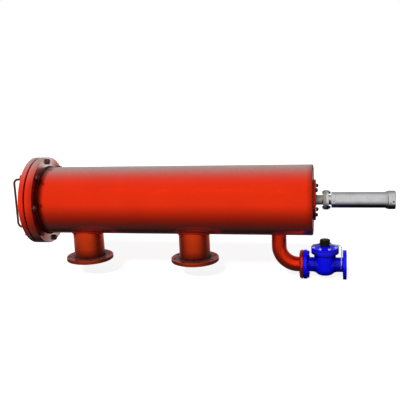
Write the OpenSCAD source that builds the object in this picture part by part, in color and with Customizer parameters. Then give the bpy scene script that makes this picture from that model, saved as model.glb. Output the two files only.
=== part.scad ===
// Self cleaning filter: a flanged housing with a suction scanner inside a fine screen, a drive
// cylinder on the end of the housing and a diaphragm flush valve on the drain.
// The origin is the centre of the inlet flange's mating face. +X runs along the housing towards
// the drive cylinder, +Y to the back and +Z up.

/* [Housing] */
// Outside diameter of the housing tube
shell_od = 480; // [460:1:500]
// Wall of the housing tube
shell_wall = 8; // [6:0.5:12]
// Height of the housing's axis above the inlet and outlet faces
nozzle_reach = 440; // [400:1:520]
// Distance between the inlet and outlet axes
nozzle_spacing = 792; // [700:1:850]
// Distance from the cover's outer face to the inlet axis
cover_to_inlet = 375; // [360:1:450]

/* [Cover joint] */
// Thickness of the cover's rim
cover_t = 36.5; // [28:0.5:50]
// Thickness of the body flange's rim
body_flange_t = 52.5; // [30:0.5:60]
// Height of the raised faces
face_height = 3.5; // [3:0.5:8]
// Gap between the raised faces and the cover's bolt holes
face_margin = 5; // [2:0.5:9]
// Thickness of the cover gasket
cover_gasket_t = 4; // [2:0.5:6]
// How far the housing tube stops short of the body flange's face
shell_setback = 10; // [4:1:20]
// Thread diameter of the cover bolts
cover_bolt_d = 24; // [16:1:27]
// Number of cover bolts
cover_bolt_count = 8; // [4:4:16]
// Distance of the cover bolts' axes from the housing tube's outside
cover_bolt_step = 43; // [38:1:50]
// Distance from the cover bolts' axes to the flanges' edge
cover_rim = 29; // [24:1:40]

/* [Cover handles] */
// Diameter of the handle bar
handle_bar_d = 16; // [12:1:22]
// Height of a handle between its leg axes
handle_height = 348; // [240:1:370]
// Distance from the cover's face to the bar's axis
handle_standoff = 110; // [70:1:130]
// Distance of each handle from the vertical middle plane
handle_offset = 120; // [80:1:140]
// Bend radius of the handle bar at its axis
handle_bend = 30; // [20:1:45]

/* [Inlet and outlet] */
// Outside diameter of the inlet and outlet pipes
pipe_od = 219; // [200:1:230]
// Wall of the inlet and outlet pipes
pipe_wall = 8; // [5:0.5:12]
// Thickness of the inlet and outlet flanges
pipe_flange_t = 24; // [18:1:36]
// Distance of the flange bolts' axes from the pipes' outside
pipe_bolt_step = 38; // [32:1:48]
// Distance from the flange bolts' axes to the flanges' edge
pipe_rim = 22.5; // [18:0.5:34]
// Bolt holes in each flange
pipe_bolt_count = 8; // [4:4:12]
// Diameter of the bolt holes
pipe_hole_d = 22; // [16:1:26]

/* [Drain] */
// Distance from the flush chamber's wall to the drain pipe's vertical leg
drain_set = 148; // [100:1:200]
// Drop from the housing's axis to the flush valve's axis
drain_drop = 453; // [430:1:500]
// Distance from the drain's vertical leg to the flush valve's inlet face
drain_run = 167; // [160:1:200]
// Outside diameter of the drain pipe
drain_pipe_od = 102; // [84:1:110]
// Wall of the drain pipe
drain_wall = 5; // [3:0.5:8]
// Bend radius of the drain pipe at its axis
drain_bend = 130; // [100:1:138]
// Distance from the drain bolts' axes to the flanges' edge
drain_rim = 20; // [16:1:25]
// Thickness of the drain pipe's flange
drain_flange_t = 14; // [12:1:24]
// Thickness of the gasket between the drain flange and the valve
drain_gasket_t = 3; // [1:0.5:4]
// Bolt circle of the drain and valve flanges
drain_bolt_circle = 160; // [154:1:164]
// Bolts in the drain joint
drain_bolt_count = 8; // [4:4:8]
// Thread diameter of the drain joint's bolts
drain_bolt_d = 16; // [12:1:18]

/* [Drive end] */
// Thickness of the flat head in the housing's end
end_head_t = 30; // [24:1:36]
// Diameter of the opening in the end head
end_opening_d = 190; // [160:1:196]
// Gap between the scanner's swivel and the end head
end_room = 19.4; // [10:0.2:60]
// Distance from the end studs' axes to the end cover's edge
end_rim = 20; // [16:1:32]
// Thickness of the bolted end cover
end_cover_t = 20; // [14:1:28]
// Thickness of the end cover's gasket
end_gasket_t = 2; // [1:0.5:4]
// Thread diameter of the end cover's studs
end_stud_d = 16; // [12:1:18]
// Number of studs in the end cover
end_stud_count = 4; // [4:4:8]
// Distance of the end studs' axes from the end head's opening
end_stud_step = 23; // [20:1:30]
// Outside diameter of the neck between the end cover and the cylinder
neck_od = 66; // [60:1:74]
// Bore of the neck
neck_bore = 46; // [40:1:50]
// Length of the neck between the end cover and its flange
neck_length = 49; // [40:1:80]
// Diameter of the cylinder's mounting flanges
neck_flange_od = 132; // [128:1:150]
// Thickness of each mounting flange
neck_flange_t = 18; // [12:1:24]
// Thread diameter of the mounting bolts
neck_bolt_d = 12; // [10:1:14]
// Number of mounting bolts
neck_bolt_count = 4; // [4:4:8]
// Bolt circle of the mounting bolts
neck_bolt_circle = 101; // [100:1:106]

/* [Drive cylinder] */
// Outside diameter of the cylinder tube
cyl_od = 106; // [102:1:112]
// Wall of the cylinder tube
cyl_wall = 5; // [4:0.5:8]
// Gap between the cylinder's flange and its front head
boss_length = 16; // [14:1:24]
// Length of the front head that shows
front_head_l = 30; // [26:1:40]
// Room left in front of the piston at the end of its stroke
piston_spare = 45; // [10:1:90]
// Thickness of the rear cap round the cylinder tube
cap_wall = 9; // [6:1:15]
// Length of the rear cap
rear_cap_l = 52; // [48:1:70]
// How deep the tube sits in the rear cap
cap_socket = 30; // [20:1:34]
// Diameter of the piston rod
rod_d = 28; // [22:1:32]
// Thickness of the piston
piston_t = 40; // [34:1:50]
// Stroke of the piston and of the scanner
stroke = 240; // [200:1:260]
// Radius of the threaded ports in the cylinder
port_r = 5.7; // [4:0.1:6.5]

/* [Screens] */
// Distance from the inlet axis to the screen carrier
carrier_x = 253; // [240:1:280]
// Thickness of the screen carrier
carrier_t = 16; // [12:1:24]
// Distance between the screen carrier and the flush chamber's wall
screen_length = 954; // [920:1:960]
// Thickness of the flush chamber's wall
wall_t = 20; // [14:1:26]
// Inside radius of the fine screen
screen_r = 150; // [140:1:158]
// Thickness of the fine screen's mesh sleeve
mesh_t = 1.5; // [1:0.1:2.5]
// Thickness of the seals at the fine screen's ends
screen_seal_t = 4; // [2:0.5:6]
// Bars in the fine screen's cage
cage_bars = 12; // [6:1:18]
// Rings between the ends of the fine screen's cage
cage_rings = 7; // [3:1:11]
// Length of the coarse screen
coarse_length = 468; // [420:1:500]
// How far the coarse screen laps over the carrier's ring
coarse_lap = 6; // [4:0.5:12]
// Wall of the coarse screen
coarse_wall = 4; // [2:0.5:6]
// Diameter of the holes in the coarse screen
coarse_hole_d = 24; // [10:1:30]
// Rows of holes along the coarse screen
coarse_rows = 8; // [4:1:10]
// Holes in each row round the coarse screen
coarse_row_holes = 16; // [8:1:20]

/* [Scanner] */
// Outside diameter of the scanner tube
scanner_od = 76; // [70:1:84]
// Wall of the scanner tube
scanner_wall = 6; // [4:0.5:8]
// Number of suction nozzles
suction_count = 4; // [2:1:6]
// Gap between a suction nozzle's mouth and the fine screen
suction_gap = 3; // [2:0.5:6]
// Length of a suction nozzle's mouth along the scanner
mouth_length = 40; // [36:1:48]
// Width of a suction nozzle's mouth round the screen
mouth_width = 60; // [46:1:76]
// Reach of the jet rotor's arms from the scanner's axis
jet_reach = 112; // [95:1:140]

/* [Flush valve] */
// Length of the flush valve between its flange faces
valve_length = 288; // [280:1:320]
// Thickness of the flush valve's pipe flanges
valve_flange_t = 24; // [18:1:28]
// Radius of the flush valve's passages
valve_bore_r = 40; // [36:1:42]
// Radius of the flush valve's necks
valve_neck_r = 50; // [47:1:54]
// Radius of the flush valve's round body
valve_body_r = 73; // [71:1:76]
// Depth of the flush valve's body below the pipe axis
valve_bowl = 70; // [66:1:76]
// Height of the diaphragm's seat above the pipe axis
diaphragm_z = 101; // [98:1:106]
// Distance from the bonnet bolts' axes to the bonnet's edge
bonnet_rim = 13; // [11:0.5:16]
// Thickness of the valve body's upper flange
top_flange_t = 17; // [14:1:22]
// Thickness of the bonnet's flange
bonnet_flange_t = 20; // [19:1:26]
// Thickness of the diaphragm
diaphragm_t = 4; // [3:0.5:5]
// Bolts in the bonnet
bonnet_bolt_count = 8; // [4:2:10]
// Thread diameter of the bonnet bolts
bonnet_bolt_d = 12; // [10:1:13]
// Bolt circle of the bonnet
bonnet_bolt_circle = 160; // [159:1:161]
// Lift of the valve's plug
valve_lift = 14; // [10:1:14]
// Inside radius of the valve's seat
seat_r = 30; // [26:1:31]
// Diameter of the valve's stem in its guide
stem_d = 14; // [12:1:16]
// Diameter of the pilot cap
pilot_d = 70; // [66:1:76]
// Height of the pilot cap
pilot_h = 35; // [30:1:50]
// Diameter of the control tube
control_d = 7; // [5:0.5:8]
// Direction of the control tube from the pilot cap, seen from above
control_angle = -28; // [-34:1:-27]
// Bend radius of the control tube at its axis
control_bend = 22; // [14:1:30]

/* [Fits] */
// Gap round a piece that is set in and welded
weld_gap = 0.2; // [0.1:0.05:0.4]
// Radial gap of a screwed, pressed or sliding-in piece
seat_gap = 0.05; // [0.02:0.01:0.1]
// Radial gap of a shaft or rod that runs in its bush
run_gap = 0.05; // [0.02:0.01:0.1]
// Gap between moving faces
move_gap = 0.3; // [0.2:0.05:0.5]
// Extra diameter of a bolt's clearance hole
hole_gap = 2; // [1:0.5:3]
// Extra diameter of a bolt's hole in the drain joint
joint_hole_gap = 1.5; // [1:0.5:3]

/* [Hidden] */
$fn = 96;
over = 1;
paint_red = [0.86, 0.10, 0.02];
valve_blue = [0.02, 0.02, 0.90];
bare_steel = [0.72, 0.73, 0.74];
dark_steel = [0.25, 0.25, 0.26];
bronze = [0.72, 0.52, 0.28];
rubber_black = [0.08, 0.08, 0.08];
mould_black = [0.06, 0.06, 0.05];
brass = [0.80, 0.65, 0.30];

// Places along the housing
shell_r = shell_od / 2;
shell_in_r = shell_r - shell_wall;
cover_x = -cover_to_inlet;
cover_bolt_circle = shell_od + 2 * cover_bolt_step;
cover_od = cover_bolt_circle + 2 * cover_rim;
face_od = cover_bolt_circle - cover_bolt_d - hole_gap - 2 * face_margin;
pipe_bolt_circle = pipe_od + 2 * pipe_bolt_step;
pipe_flange_od = pipe_bolt_circle + 2 * pipe_rim;
cover_gasket_x = cover_x + cover_t + face_height;
body_face_x = cover_gasket_x + cover_gasket_t;
body_flange_x = body_face_x + face_height;
body_back_x = body_flange_x + body_flange_t;
shell_x = body_face_x + shell_setback;
edge = 2;

// Places along the scanner
screen_x = carrier_x + carrier_t;
wall_x = screen_x + screen_length;
flush_x = wall_x + wall_t;
drain_x = flush_x + drain_set;
cage_bar = 8;
cage_end_l = 20;
cage_end_h = 14;
cage_ring_h = 11;
hub_l = 30;
bush_flange_t = 4;
scanner_bush_wall = 8;
scanner_bush_od = scanner_od + 2 * scanner_bush_wall;
hub_wall = 7;
hub_od = scanner_bush_od + 2 * hub_wall;
rotor_w = 36;
rotor_clear = 12;
rotor_x = flush_x + stroke + rotor_clear + rotor_w / 2;
rotor_wall = 10;
rotor_od = scanner_od + 2 * rotor_wall;
scanner_lead = 30;
scanner_x = screen_x - hub_l - bush_flange_t - scanner_lead;
scanner_end_x = rotor_x + rotor_w / 2 + edge;
scanner_bore = scanner_od - 2 * scanner_wall;
plug_depth = 14;
plug_head_t = 6;
rod_head_t = 10;
rod_head_lip = 8;
rod_head_d = rod_d + 2 * rod_head_lip;
swivel_web = 18;
rod_head_x = scanner_end_x + swivel_web + move_gap;
swivel_cap_x = rod_head_x + rod_head_t + move_gap;
swivel_cap_t = 10;
inlet_to_end = swivel_cap_x + swivel_cap_t + end_room + end_head_t;
suction_margin = 3;
suction_side = mouth_length / 2 + suction_margin;
suction_first = screen_x + suction_side + stroke;
suction_last = wall_x - suction_side;
suction_pitch = (suction_last - suction_first) / (suction_count - 1);
suction_pipe_od = 34;
suction_bore = 24;
mouth_depth = 22;
mouth_lip = 6;
mouth_r = screen_r - suction_gap;
jet_od = 26;
jet_bore = 14;
jet_tip_d = 22;
jet_tip_bore = 10;
jet_tip_out = 8;
jet_turns = [45, 225];

// Places along the drive end
end_stud_circle = end_opening_d + 2 * end_stud_step;
end_cover_od = end_stud_circle + 2 * end_rim;
cyl_bore = cyl_od - 2 * cyl_wall;
rear_cap_od = cyl_od + 2 * cap_wall;
spigot_l = 12;
piston_nut_d = 20;
piston_rest = 4;
piston_stop = nut_h(piston_nut_d) + thread_out(piston_nut_d) + piston_rest;
tube_show_l = spigot_l + piston_spare + stroke + piston_t + piston_stop - cap_socket;
end_gasket_x = inlet_to_end;
end_cover_x = end_gasket_x + end_gasket_t;
neck_x = end_cover_x + end_cover_t;
neck_flange_x = neck_x + neck_length;
cyl_flange_x = neck_flange_x + neck_flange_t;
boss_x = cyl_flange_x + neck_flange_t;
front_head_x = boss_x + boss_length;
tube_x = front_head_x + front_head_l;
rear_cap_x = tube_x + tube_show_l;
tube_end_x = rear_cap_x + cap_socket;
stud_angle = 45;
stud_setback = 4;
lock_ring_l = 10;
lock_ring_h = 5;
lock_ring_od = cyl_od + 2 * lock_ring_h;
bush_wall = 5;
bush_od = rod_d + 2 * bush_wall;
bush_l = 40;
rod_seal_l = 10;
port_depth = 24;
port_boss_d = 28;
port_boss_h = 3;

// Places along the piston and rod
piston_x = tube_end_x - piston_stop - piston_t;
piston_seal_w = 8;
piston_seal_depth = 5;

// Places on the flush valve
drain_z = nozzle_reach - drain_drop;
drain_flange_od = drain_bolt_circle + 2 * drain_rim;
bonnet_r = bonnet_bolt_circle / 2 + bonnet_rim;
valve_x = drain_x + drain_run + valve_length / 2;
valve_half = valve_length / 2;
passage_lap = 3;
passage_step = 1;
passage_end = valve_body_r - passage_lap;
bridge = 6;
bowl_round = 45;
bowl_fillet = 24;
barrel_r = 64;
barrel_half = 92;
barrel_bow = 220;
chamber_r = 62;
lower_r = 58;
lower_wall = 12;
top_fillet = 3;
screw_floor = 4;
screw_spare = 2;
bonnet_z = diaphragm_z + diaphragm_t;
bonnet_top = bonnet_z + bonnet_flange_t;
head_margin = 3;
dome_r = bonnet_bolt_circle / 2 - head_corner(bonnet_bolt_d) - head_margin;
dome_h = 11;
dome_bow = (dome_r * dome_r + dome_h * dome_h) / (2 * dome_h);
boss_r = 31;
boss_rise = 7;
pilot_z = bonnet_top + dome_h + boss_rise;
skirt_z = bonnet_top + dome_h - dome_bow + sqrt(dome_bow * dome_bow - boss_r * boss_r) + seat_gap;
pocket_r = 27;
plate_r = 42;
plate_t = 4;
stem_top_d = 12;
stem_body_d = 22;
seat_rise = 6;
seat_top = bridge + seat_rise;
seat_wall = 6;
guide_r = 12;
guide_top = -8;
guide_l = 14;
plug_z = seat_top + move_gap;
plug_seal_t = 6;
plug_t = 12;
plug_lap = 4;
plug_r = seat_r + seat_wall + plug_lap;
stem_tail = 4;
stem_low = guide_top - guide_l - valve_lift - stem_tail;
shoulder_z = plug_z + plug_seal_t + plug_t;
shoulder_top = diaphragm_z - plate_t;
stem_top = bonnet_z + plate_t + nut_h(stem_top_d) + over;
lift_spare = 3;
ceiling_z = stem_top + valve_lift + lift_spare;
room_gap = 6;
spring_wire = 4;
spring_r = 20;
spring_turns = 2.5;
spring_steps = 60;
spring_sides = 8;
control_clear = 3.5;
control_reach = valve_half - valve_flange_t - control_clear;
control_r = (control_reach - control_d) / cos(control_angle);
control_rise = 9;
control_z = pilot_z + control_rise;
control_y = control_r * sin(control_angle);
control_x = control_r * cos(control_angle);
fitting_r = 8;
fitting_low = -9;
fitting_top = 13;
fitting_spigot_r = 6;
fitting_af = 14;
fitting_l = 12;
tube_depth = 7;
control_steps = 8;
control_sides = 16;

function nut_h(d) = 0.8 * d;
function head_h(d) = 0.64 * d;
function thread_out(d) = 0.2 * d;
function across(d) = 1.5 * d;
function head_corner(d) = across(d) / 2 / cos(30);

// A child's +Z becomes the housing's axis at x
module on_axis(x) translate([x, 0, nozzle_reach]) rotate([0, 90, 0]) children();

// A child's +Z points away from the housing's axis at x
module radial(x, turn) on_axis(x) rotate([0, 0, turn]) rotate([0, 90, 0]) children();

module at_valve() translate([valve_x, 0, drain_z]) children();

module along_valve(x) at_valve() translate([x, 0, 0]) rotate([0, 90, 0]) children();

module around(count, circle, turn = 0) {
    for (i = [0:count - 1])
        rotate([0, 0, turn + i * 360 / count])
            translate([circle / 2, 0, 0])
                children();
}

module ring(outer_d, inner_d, h) {
    difference() {
        cylinder(d = outer_d, h = h);
        translate([0, 0, -over])
            cylinder(d = inner_d, h = h + 2 * over);
    }
}

// A turned disc whose two outer edges are broken by a bevel
module disc(d, h, bevel) {
    rotate_extrude()
        polygon([
            [0, 0], [d / 2 - bevel, 0], [d / 2, bevel],
            [d / 2, h - bevel], [d / 2 - bevel, h], [0, h]
        ]);
}

module holes(count, circle, hole_d, h, turn = 0) {
    around(count, circle, turn)
        translate([0, 0, -over])
            cylinder(d = hole_d, h = h + 2 * over);
}

module hex(af, h) cylinder(d = af / cos(30), h = h, $fn = 6);

// A hex bolt with its head below z = 0
module bolt(d, grip) {
    translate([0, 0, -head_h(d)])
        hex(across(d), head_h(d));
    cylinder(d = d, h = grip + nut_h(d) + thread_out(d));
}

module nut(d) {
    difference() {
        hex(across(d), nut_h(d));
        translate([0, 0, -over])
            cylinder(d = d + 2 * seat_gap, h = nut_h(d) + 2 * over);
    }
}

// A quarter of a bent bar in the XZ plane, from angle turn to turn + 90
module quarter_bend(bend, d, turn) {
    rotate([90, 0, 0])
        rotate([0, 0, turn])
            rotate_extrude(angle = 90)
                translate([bend, 0])
                    circle(d = d);
}

module shell_inside() {
    on_axis(cover_x)
        cylinder(r = shell_in_r, h = cover_to_inlet + inlet_to_end);
}

module housing_shell() {
    color(paint_red)
        difference() {
            on_axis(shell_x)
                ring(shell_od, 2 * shell_in_r, inlet_to_end - shell_x);
            for (x = [0, nozzle_spacing])
                translate([x, 0, 0])
                    cylinder(d = pipe_od + 2 * weld_gap, h = nozzle_reach);
            translate([drain_x, 0, 0])
                cylinder(d = drain_pipe_od + 2 * weld_gap, h = nozzle_reach);
        }
}

module body_flange() {
    color(paint_red)
        on_axis(body_face_x)
            difference() {
                union() {
                    cylinder(d = face_od, h = face_height + edge);
                    translate([0, 0, face_height])
                        disc(cover_od, body_flange_t, edge);
                }
                translate([0, 0, -over])
                    cylinder(d = shell_od + 2 * weld_gap, h = face_height + body_flange_t + 2 * over);
                holes(cover_bolt_count, cover_bolt_circle, cover_bolt_d + hole_gap,
                    face_height + body_flange_t);
            }
}

module end_head() {
    color(paint_red)
        on_axis(inlet_to_end - end_head_t)
            difference() {
                ring(2 * (shell_in_r - weld_gap), end_opening_d, end_head_t);
                holes(end_stud_count, end_stud_circle, end_stud_d + 2 * seat_gap, end_head_t,
                    stud_angle);
            }
}

module cover_plate() {
    color(paint_red)
        on_axis(cover_x)
            difference() {
                union() {
                    disc(cover_od, cover_t, edge);
                    cylinder(d = face_od, h = cover_t + face_height);
                }
                holes(cover_bolt_count, cover_bolt_circle, cover_bolt_d + hole_gap, cover_t);
            }
}

module cover_gasket() {
    color(rubber_black)
        on_axis(cover_gasket_x)
            ring(face_od, shell_od, cover_gasket_t);
}

module cover_bolts() {
    grip = cover_t + 2 * face_height + cover_gasket_t + body_flange_t;
    color(dark_steel)
        on_axis(cover_x)
            around(cover_bolt_count, cover_bolt_circle)
                bolt(cover_bolt_d, grip);
}

module cover_nuts() {
    color(dark_steel)
        on_axis(body_back_x)
            around(cover_bolt_count, cover_bolt_circle)
                nut(cover_bolt_d);
}

// A round bar bent to a U, with both legs on the cover's outer face
module bar_handle(side) {
    leg = handle_standoff - handle_bend;
    half = handle_height / 2;
    color(paint_red)
        translate([cover_x, side * handle_offset, nozzle_reach]) {
            for (end = [-1, 1])
                translate([-leg, 0, end * half])
                    rotate([0, 90, 0])
                        cylinder(d = handle_bar_d, h = leg);
            translate([-handle_standoff, 0, handle_bend - half])
                cylinder(d = handle_bar_d, h = handle_height - 2 * handle_bend);
            translate([-leg, 0, half - handle_bend])
                quarter_bend(handle_bend, handle_bar_d, 90);
            translate([-leg, 0, handle_bend - half])
                quarter_bend(handle_bend, handle_bar_d, 180);
        }
}

module front_handle() bar_handle(-1);

module rear_handle() bar_handle(1);

// A pipe from the flange face up to the inside of the housing tube
module nozzle_pipe(x) {
    color(paint_red)
        difference() {
            translate([x, 0, 0])
                ring(pipe_od, pipe_od - 2 * pipe_wall, nozzle_reach);
            shell_inside();
        }
}

module nozzle_flange(x) {
    color(paint_red)
        translate([x, 0, 0])
            difference() {
                disc(pipe_flange_od, pipe_flange_t, edge);
                translate([0, 0, -over])
                    cylinder(d = pipe_od + 2 * weld_gap, h = pipe_flange_t + 2 * over);
                holes(pipe_bolt_count, pipe_bolt_circle, pipe_hole_d, pipe_flange_t,
                    180 / pipe_bolt_count);
            }
}

module inlet_pipe() nozzle_pipe(0);

module inlet_flange() nozzle_flange(0);

module outlet_pipe() nozzle_pipe(nozzle_spacing);

module outlet_flange() nozzle_flange(nozzle_spacing);

// The drain's route: down from the housing, round the bend and across to the valve
module drain_route(d, extra) {
    run = drain_run - drain_bend - drain_gasket_t;
    translate([drain_x, 0, drain_z + drain_bend])
        cylinder(d = d, h = drain_drop - drain_bend);
    translate([drain_x + drain_bend, 0, drain_z + drain_bend])
        quarter_bend(drain_bend, d, 180);
    translate([drain_x + drain_bend, 0, drain_z])
        rotate([0, 90, 0])
            cylinder(d = d, h = run + extra);
}

module drain_elbow() {
    color(paint_red)
        difference() {
            drain_route(drain_pipe_od, 0);
            drain_route(drain_pipe_od - 2 * drain_wall, over);
            shell_inside();
        }
}

module drain_flange() {
    color(paint_red)
        along_valve(-valve_half - drain_gasket_t - drain_flange_t)
            difference() {
                disc(drain_flange_od, drain_flange_t, edge);
                translate([0, 0, -over])
                    cylinder(d = drain_pipe_od + 2 * weld_gap, h = drain_flange_t + 2 * over);
                holes(drain_bolt_count, drain_bolt_circle, drain_bolt_d + joint_hole_gap,
                    drain_flange_t, 180 / drain_bolt_count);
            }
}

// A ring welded in the housing, with three arms that hold the scanner's first bush
module screen_carrier() {
    arm = carrier_t - 2 * over;
    arm_low = (hub_od + scanner_bush_od) / 4;
    color(bare_steel)
        difference() {
            union() {
                on_axis(carrier_x)
                    ring(2 * (shell_in_r - weld_gap), 2 * screen_r, carrier_t);
                on_axis(screen_x - hub_l)
                    cylinder(d = hub_od, h = hub_l);
                for (turn = [0, 120, 240])
                    radial(screen_x - carrier_t / 2, turn)
                        translate([-arm / 2, -arm / 2, arm_low])
                            cube([arm, arm, screen_r + arm - arm_low]);
            }
            on_axis(screen_x - hub_l - over)
                cylinder(d = scanner_bush_od + 2 * seat_gap, h = hub_l + 2 * over);
        }
}

module flush_wall() {
    color(bare_steel)
        on_axis(wall_x)
            ring(2 * (shell_in_r - weld_gap), scanner_bush_od + 2 * seat_gap, wall_t);
}

// A flanged bush whose flange lies at z = 0 and below
module scanner_bush(length) {
    color(bronze)
        difference() {
            union() {
                cylinder(d = scanner_bush_od, h = length);
                translate([0, 0, -bush_flange_t])
                    cylinder(d = hub_od, h = bush_flange_t);
            }
            translate([0, 0, -bush_flange_t - over])
                cylinder(d = scanner_od + 2 * run_gap, h = length + bush_flange_t + 2 * over);
        }
}

module carrier_bush() on_axis(screen_x - hub_l) scanner_bush(hub_l);

module wall_bush() on_axis(flush_x) mirror([0, 0, 1]) scanner_bush(wall_t);

// A perforated cylinder with a closed end, standing on the screen carrier
module coarse_screen() {
    pitch = coarse_length / (coarse_rows + 1);
    out_r = screen_r + coarse_lap;
    in_r = out_r - coarse_wall;
    reach = coarse_wall;
    color(bare_steel)
        on_axis(carrier_x - coarse_length)
            difference() {
                cylinder(r = out_r, h = coarse_length);
                translate([0, 0, coarse_wall])
                    cylinder(r = in_r, h = coarse_length);
                for (row = [1:coarse_rows])
                    for (i = [0:coarse_row_holes - 1])
                        translate([0, 0, row * pitch])
                            rotate([0, 0, (i + 0.5 * (row % 2)) * 360 / coarse_row_holes])
                                rotate([0, 90, 0])
                                    translate([0, 0, in_r - reach])
                                        cylinder(d = coarse_hole_d, h = coarse_wall + 2 * reach);
            }
}

// Lengthwise bars tied by rings, outside the mesh sleeve
module screen_cage() {
    length = screen_length - 2 * screen_seal_t;
    in_r = screen_r + mesh_t + move_gap;
    pitch = length / (cage_rings + 1);
    color(bare_steel)
        on_axis(screen_x + screen_seal_t) {
            for (z = [0, length - cage_end_l])
                translate([0, 0, z])
                    ring(2 * (in_r + cage_end_h), 2 * in_r, cage_end_l);
            for (i = [1:cage_rings])
                translate([0, 0, i * pitch - cage_bar / 2])
                    ring(2 * (in_r + cage_ring_h), 2 * in_r, cage_bar);
            for (i = [0:cage_bars - 1])
                rotate([0, 0, (i + 0.5) * 360 / cage_bars])
                    translate([in_r + over, -cage_bar / 2, over])
                        cube([cage_bar, cage_bar, length - 2 * over]);
        }
}

module screen_mesh() {
    color(bare_steel)
        on_axis(screen_x + screen_seal_t)
            ring(2 * (screen_r + mesh_t), 2 * screen_r, screen_length - 2 * screen_seal_t);
}

module screen_seals() {
    color(rubber_black)
        for (x = [screen_x, wall_x - screen_seal_t])
            on_axis(x)
                ring(2 * (screen_r + cage_end_h), 2 * screen_r, screen_seal_t);
}

// The disc that closes the housing's end and holds the cylinder's neck
module end_cover() {
    color(paint_red)
        on_axis(end_cover_x)
            difference() {
                disc(end_cover_od, end_cover_t, edge);
                translate([0, 0, -over])
                    cylinder(d = neck_od + 2 * weld_gap, h = end_cover_t + 2 * over);
                holes(end_stud_count, end_stud_circle, end_stud_d + hole_gap, end_cover_t, stud_angle);
            }
}

// The pipe welded in the end cover, with the flange that carries the cylinder
module cylinder_neck() {
    length = end_cover_t + neck_length + neck_flange_t;
    color(bare_steel)
        on_axis(end_cover_x)
            difference() {
                union() {
                    cylinder(d = neck_od, h = length - edge);
                    translate([0, 0, length - neck_flange_t])
                        disc(neck_flange_od, neck_flange_t, edge / 2);
                }
                translate([0, 0, -over])
                    cylinder(d = neck_bore, h = length + 2 * over);
                translate([0, 0, length - neck_flange_t])
                    holes(neck_bolt_count, neck_bolt_circle, neck_bolt_d + hole_gap, neck_flange_t);
            }
}

module end_gasket() {
    color(rubber_black)
        on_axis(end_gasket_x)
            ring(end_stud_circle - end_stud_d - hole_gap, end_opening_d, end_gasket_t);
}

// Studs in the end head, each with its nut outside the end cover
module end_studs() {
    depth = end_head_t - stud_setback;
    length = depth + end_gasket_t + end_cover_t + nut_h(end_stud_d) + thread_out(end_stud_d);
    color(dark_steel) {
        on_axis(inlet_to_end - depth)
            around(end_stud_count, end_stud_circle, stud_angle)
                cylinder(d = end_stud_d, h = length);
        on_axis(neck_x)
            around(end_stud_count, end_stud_circle, stud_angle)
                nut(end_stud_d);
    }
}

// Bolts through the two mounting flanges, each with its nut on the cylinder's side
module mount_bolts() {
    color(dark_steel) {
        on_axis(neck_flange_x)
            around(neck_bolt_count, neck_bolt_circle)
                bolt(neck_bolt_d, 2 * neck_flange_t);
        on_axis(boss_x)
            around(neck_bolt_count, neck_bolt_circle)
                nut(neck_bolt_d);
    }
}

// A port on the front side of a turned piece of diameter d, with a spot-faced boss
module port_boss(d) {
    rotate([-90, 0, 0])
        mirror([0, 0, 1])
            translate([0, 0, d / 4])
                cylinder(d = port_boss_d, h = d / 4 + port_boss_h);
}

module port_hole(d) {
    rotate([-90, 0, 0])
        mirror([0, 0, 1])
            translate([0, 0, d / 2 + port_boss_h - port_depth])
                cylinder(r = port_r, h = port_depth + over);
}

// Flange, boss, head and spigot of the cylinder, bored for the rod's bush and seal
module front_head() {
    length = neck_flange_t + boss_length + front_head_l + spigot_l;
    port_z = neck_flange_t + boss_length + front_head_l / 2;
    drill_r = 3;
    drill_at = cyl_od / 2 + port_boss_h - port_depth + drill_r + over;
    color(bare_steel)
        on_axis(cyl_flange_x)
            difference() {
                union() {
                    disc(neck_flange_od, neck_flange_t, edge / 2);
                    cylinder(d = neck_od, h = length);
                    translate([0, 0, neck_flange_t + boss_length])
                        disc(cyl_od, front_head_l, edge / 2);
                    translate([0, 0, length - spigot_l - over])
                        cylinder(d = cyl_bore - 2 * seat_gap, h = spigot_l + over);
                    translate([0, 0, port_z])
                        port_boss(cyl_od);
                }
                translate([0, 0, -over])
                    cylinder(d = rod_d + 2 * move_gap, h = length + 2 * over);
                translate([0, 0, -over])
                    cylinder(d = bush_od + 2 * seat_gap, h = bush_l + over);
                translate([0, 0, length - rod_seal_l])
                    cylinder(d = bush_od + 2 * seat_gap, h = rod_seal_l + over);
                holes(neck_bolt_count, neck_bolt_circle, neck_bolt_d + hole_gap, neck_flange_t);
                translate([0, 0, port_z])
                    port_hole(cyl_od);
                translate([0, -drill_at, port_z])
                    cylinder(r = drill_r, h = length);
            }
}

module rod_bush() {
    color(bronze)
        on_axis(cyl_flange_x)
            ring(bush_od, rod_d + 2 * run_gap, bush_l);
}

module rod_seal() {
    color(rubber_black)
        on_axis(tube_x + spigot_l - rod_seal_l)
            ring(bush_od, rod_d + 2 * run_gap, rod_seal_l);
}

module cylinder_tube() {
    color(bare_steel)
        on_axis(tube_x)
            ring(cyl_od, cyl_bore, tube_end_x - tube_x);
}

module lock_ring() {
    color(bare_steel)
        on_axis(rear_cap_x - lock_ring_l)
            difference() {
                disc(lock_ring_od, lock_ring_l, edge / 2);
                translate([0, 0, -over])
                    cylinder(d = cyl_od + 2 * seat_gap, h = lock_ring_l + 2 * over);
            }
}

// A cap screwed over the tube's end, with a port into the cylinder
module rear_cap() {
    relief = 2 * port_r + over;
    port_z = cap_socket + relief / 2;
    color(bare_steel)
        on_axis(rear_cap_x)
            difference() {
                union() {
                    disc(rear_cap_od, rear_cap_l, 2 * edge);
                    translate([0, 0, port_z])
                        port_boss(rear_cap_od);
                }
                translate([0, 0, -over])
                    cylinder(d = cyl_od + 2 * seat_gap, h = cap_socket + over);
                cylinder(d = cyl_bore, h = cap_socket + relief);
                translate([0, 0, port_z])
                    port_hole(rear_cap_od);
            }
}

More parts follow.
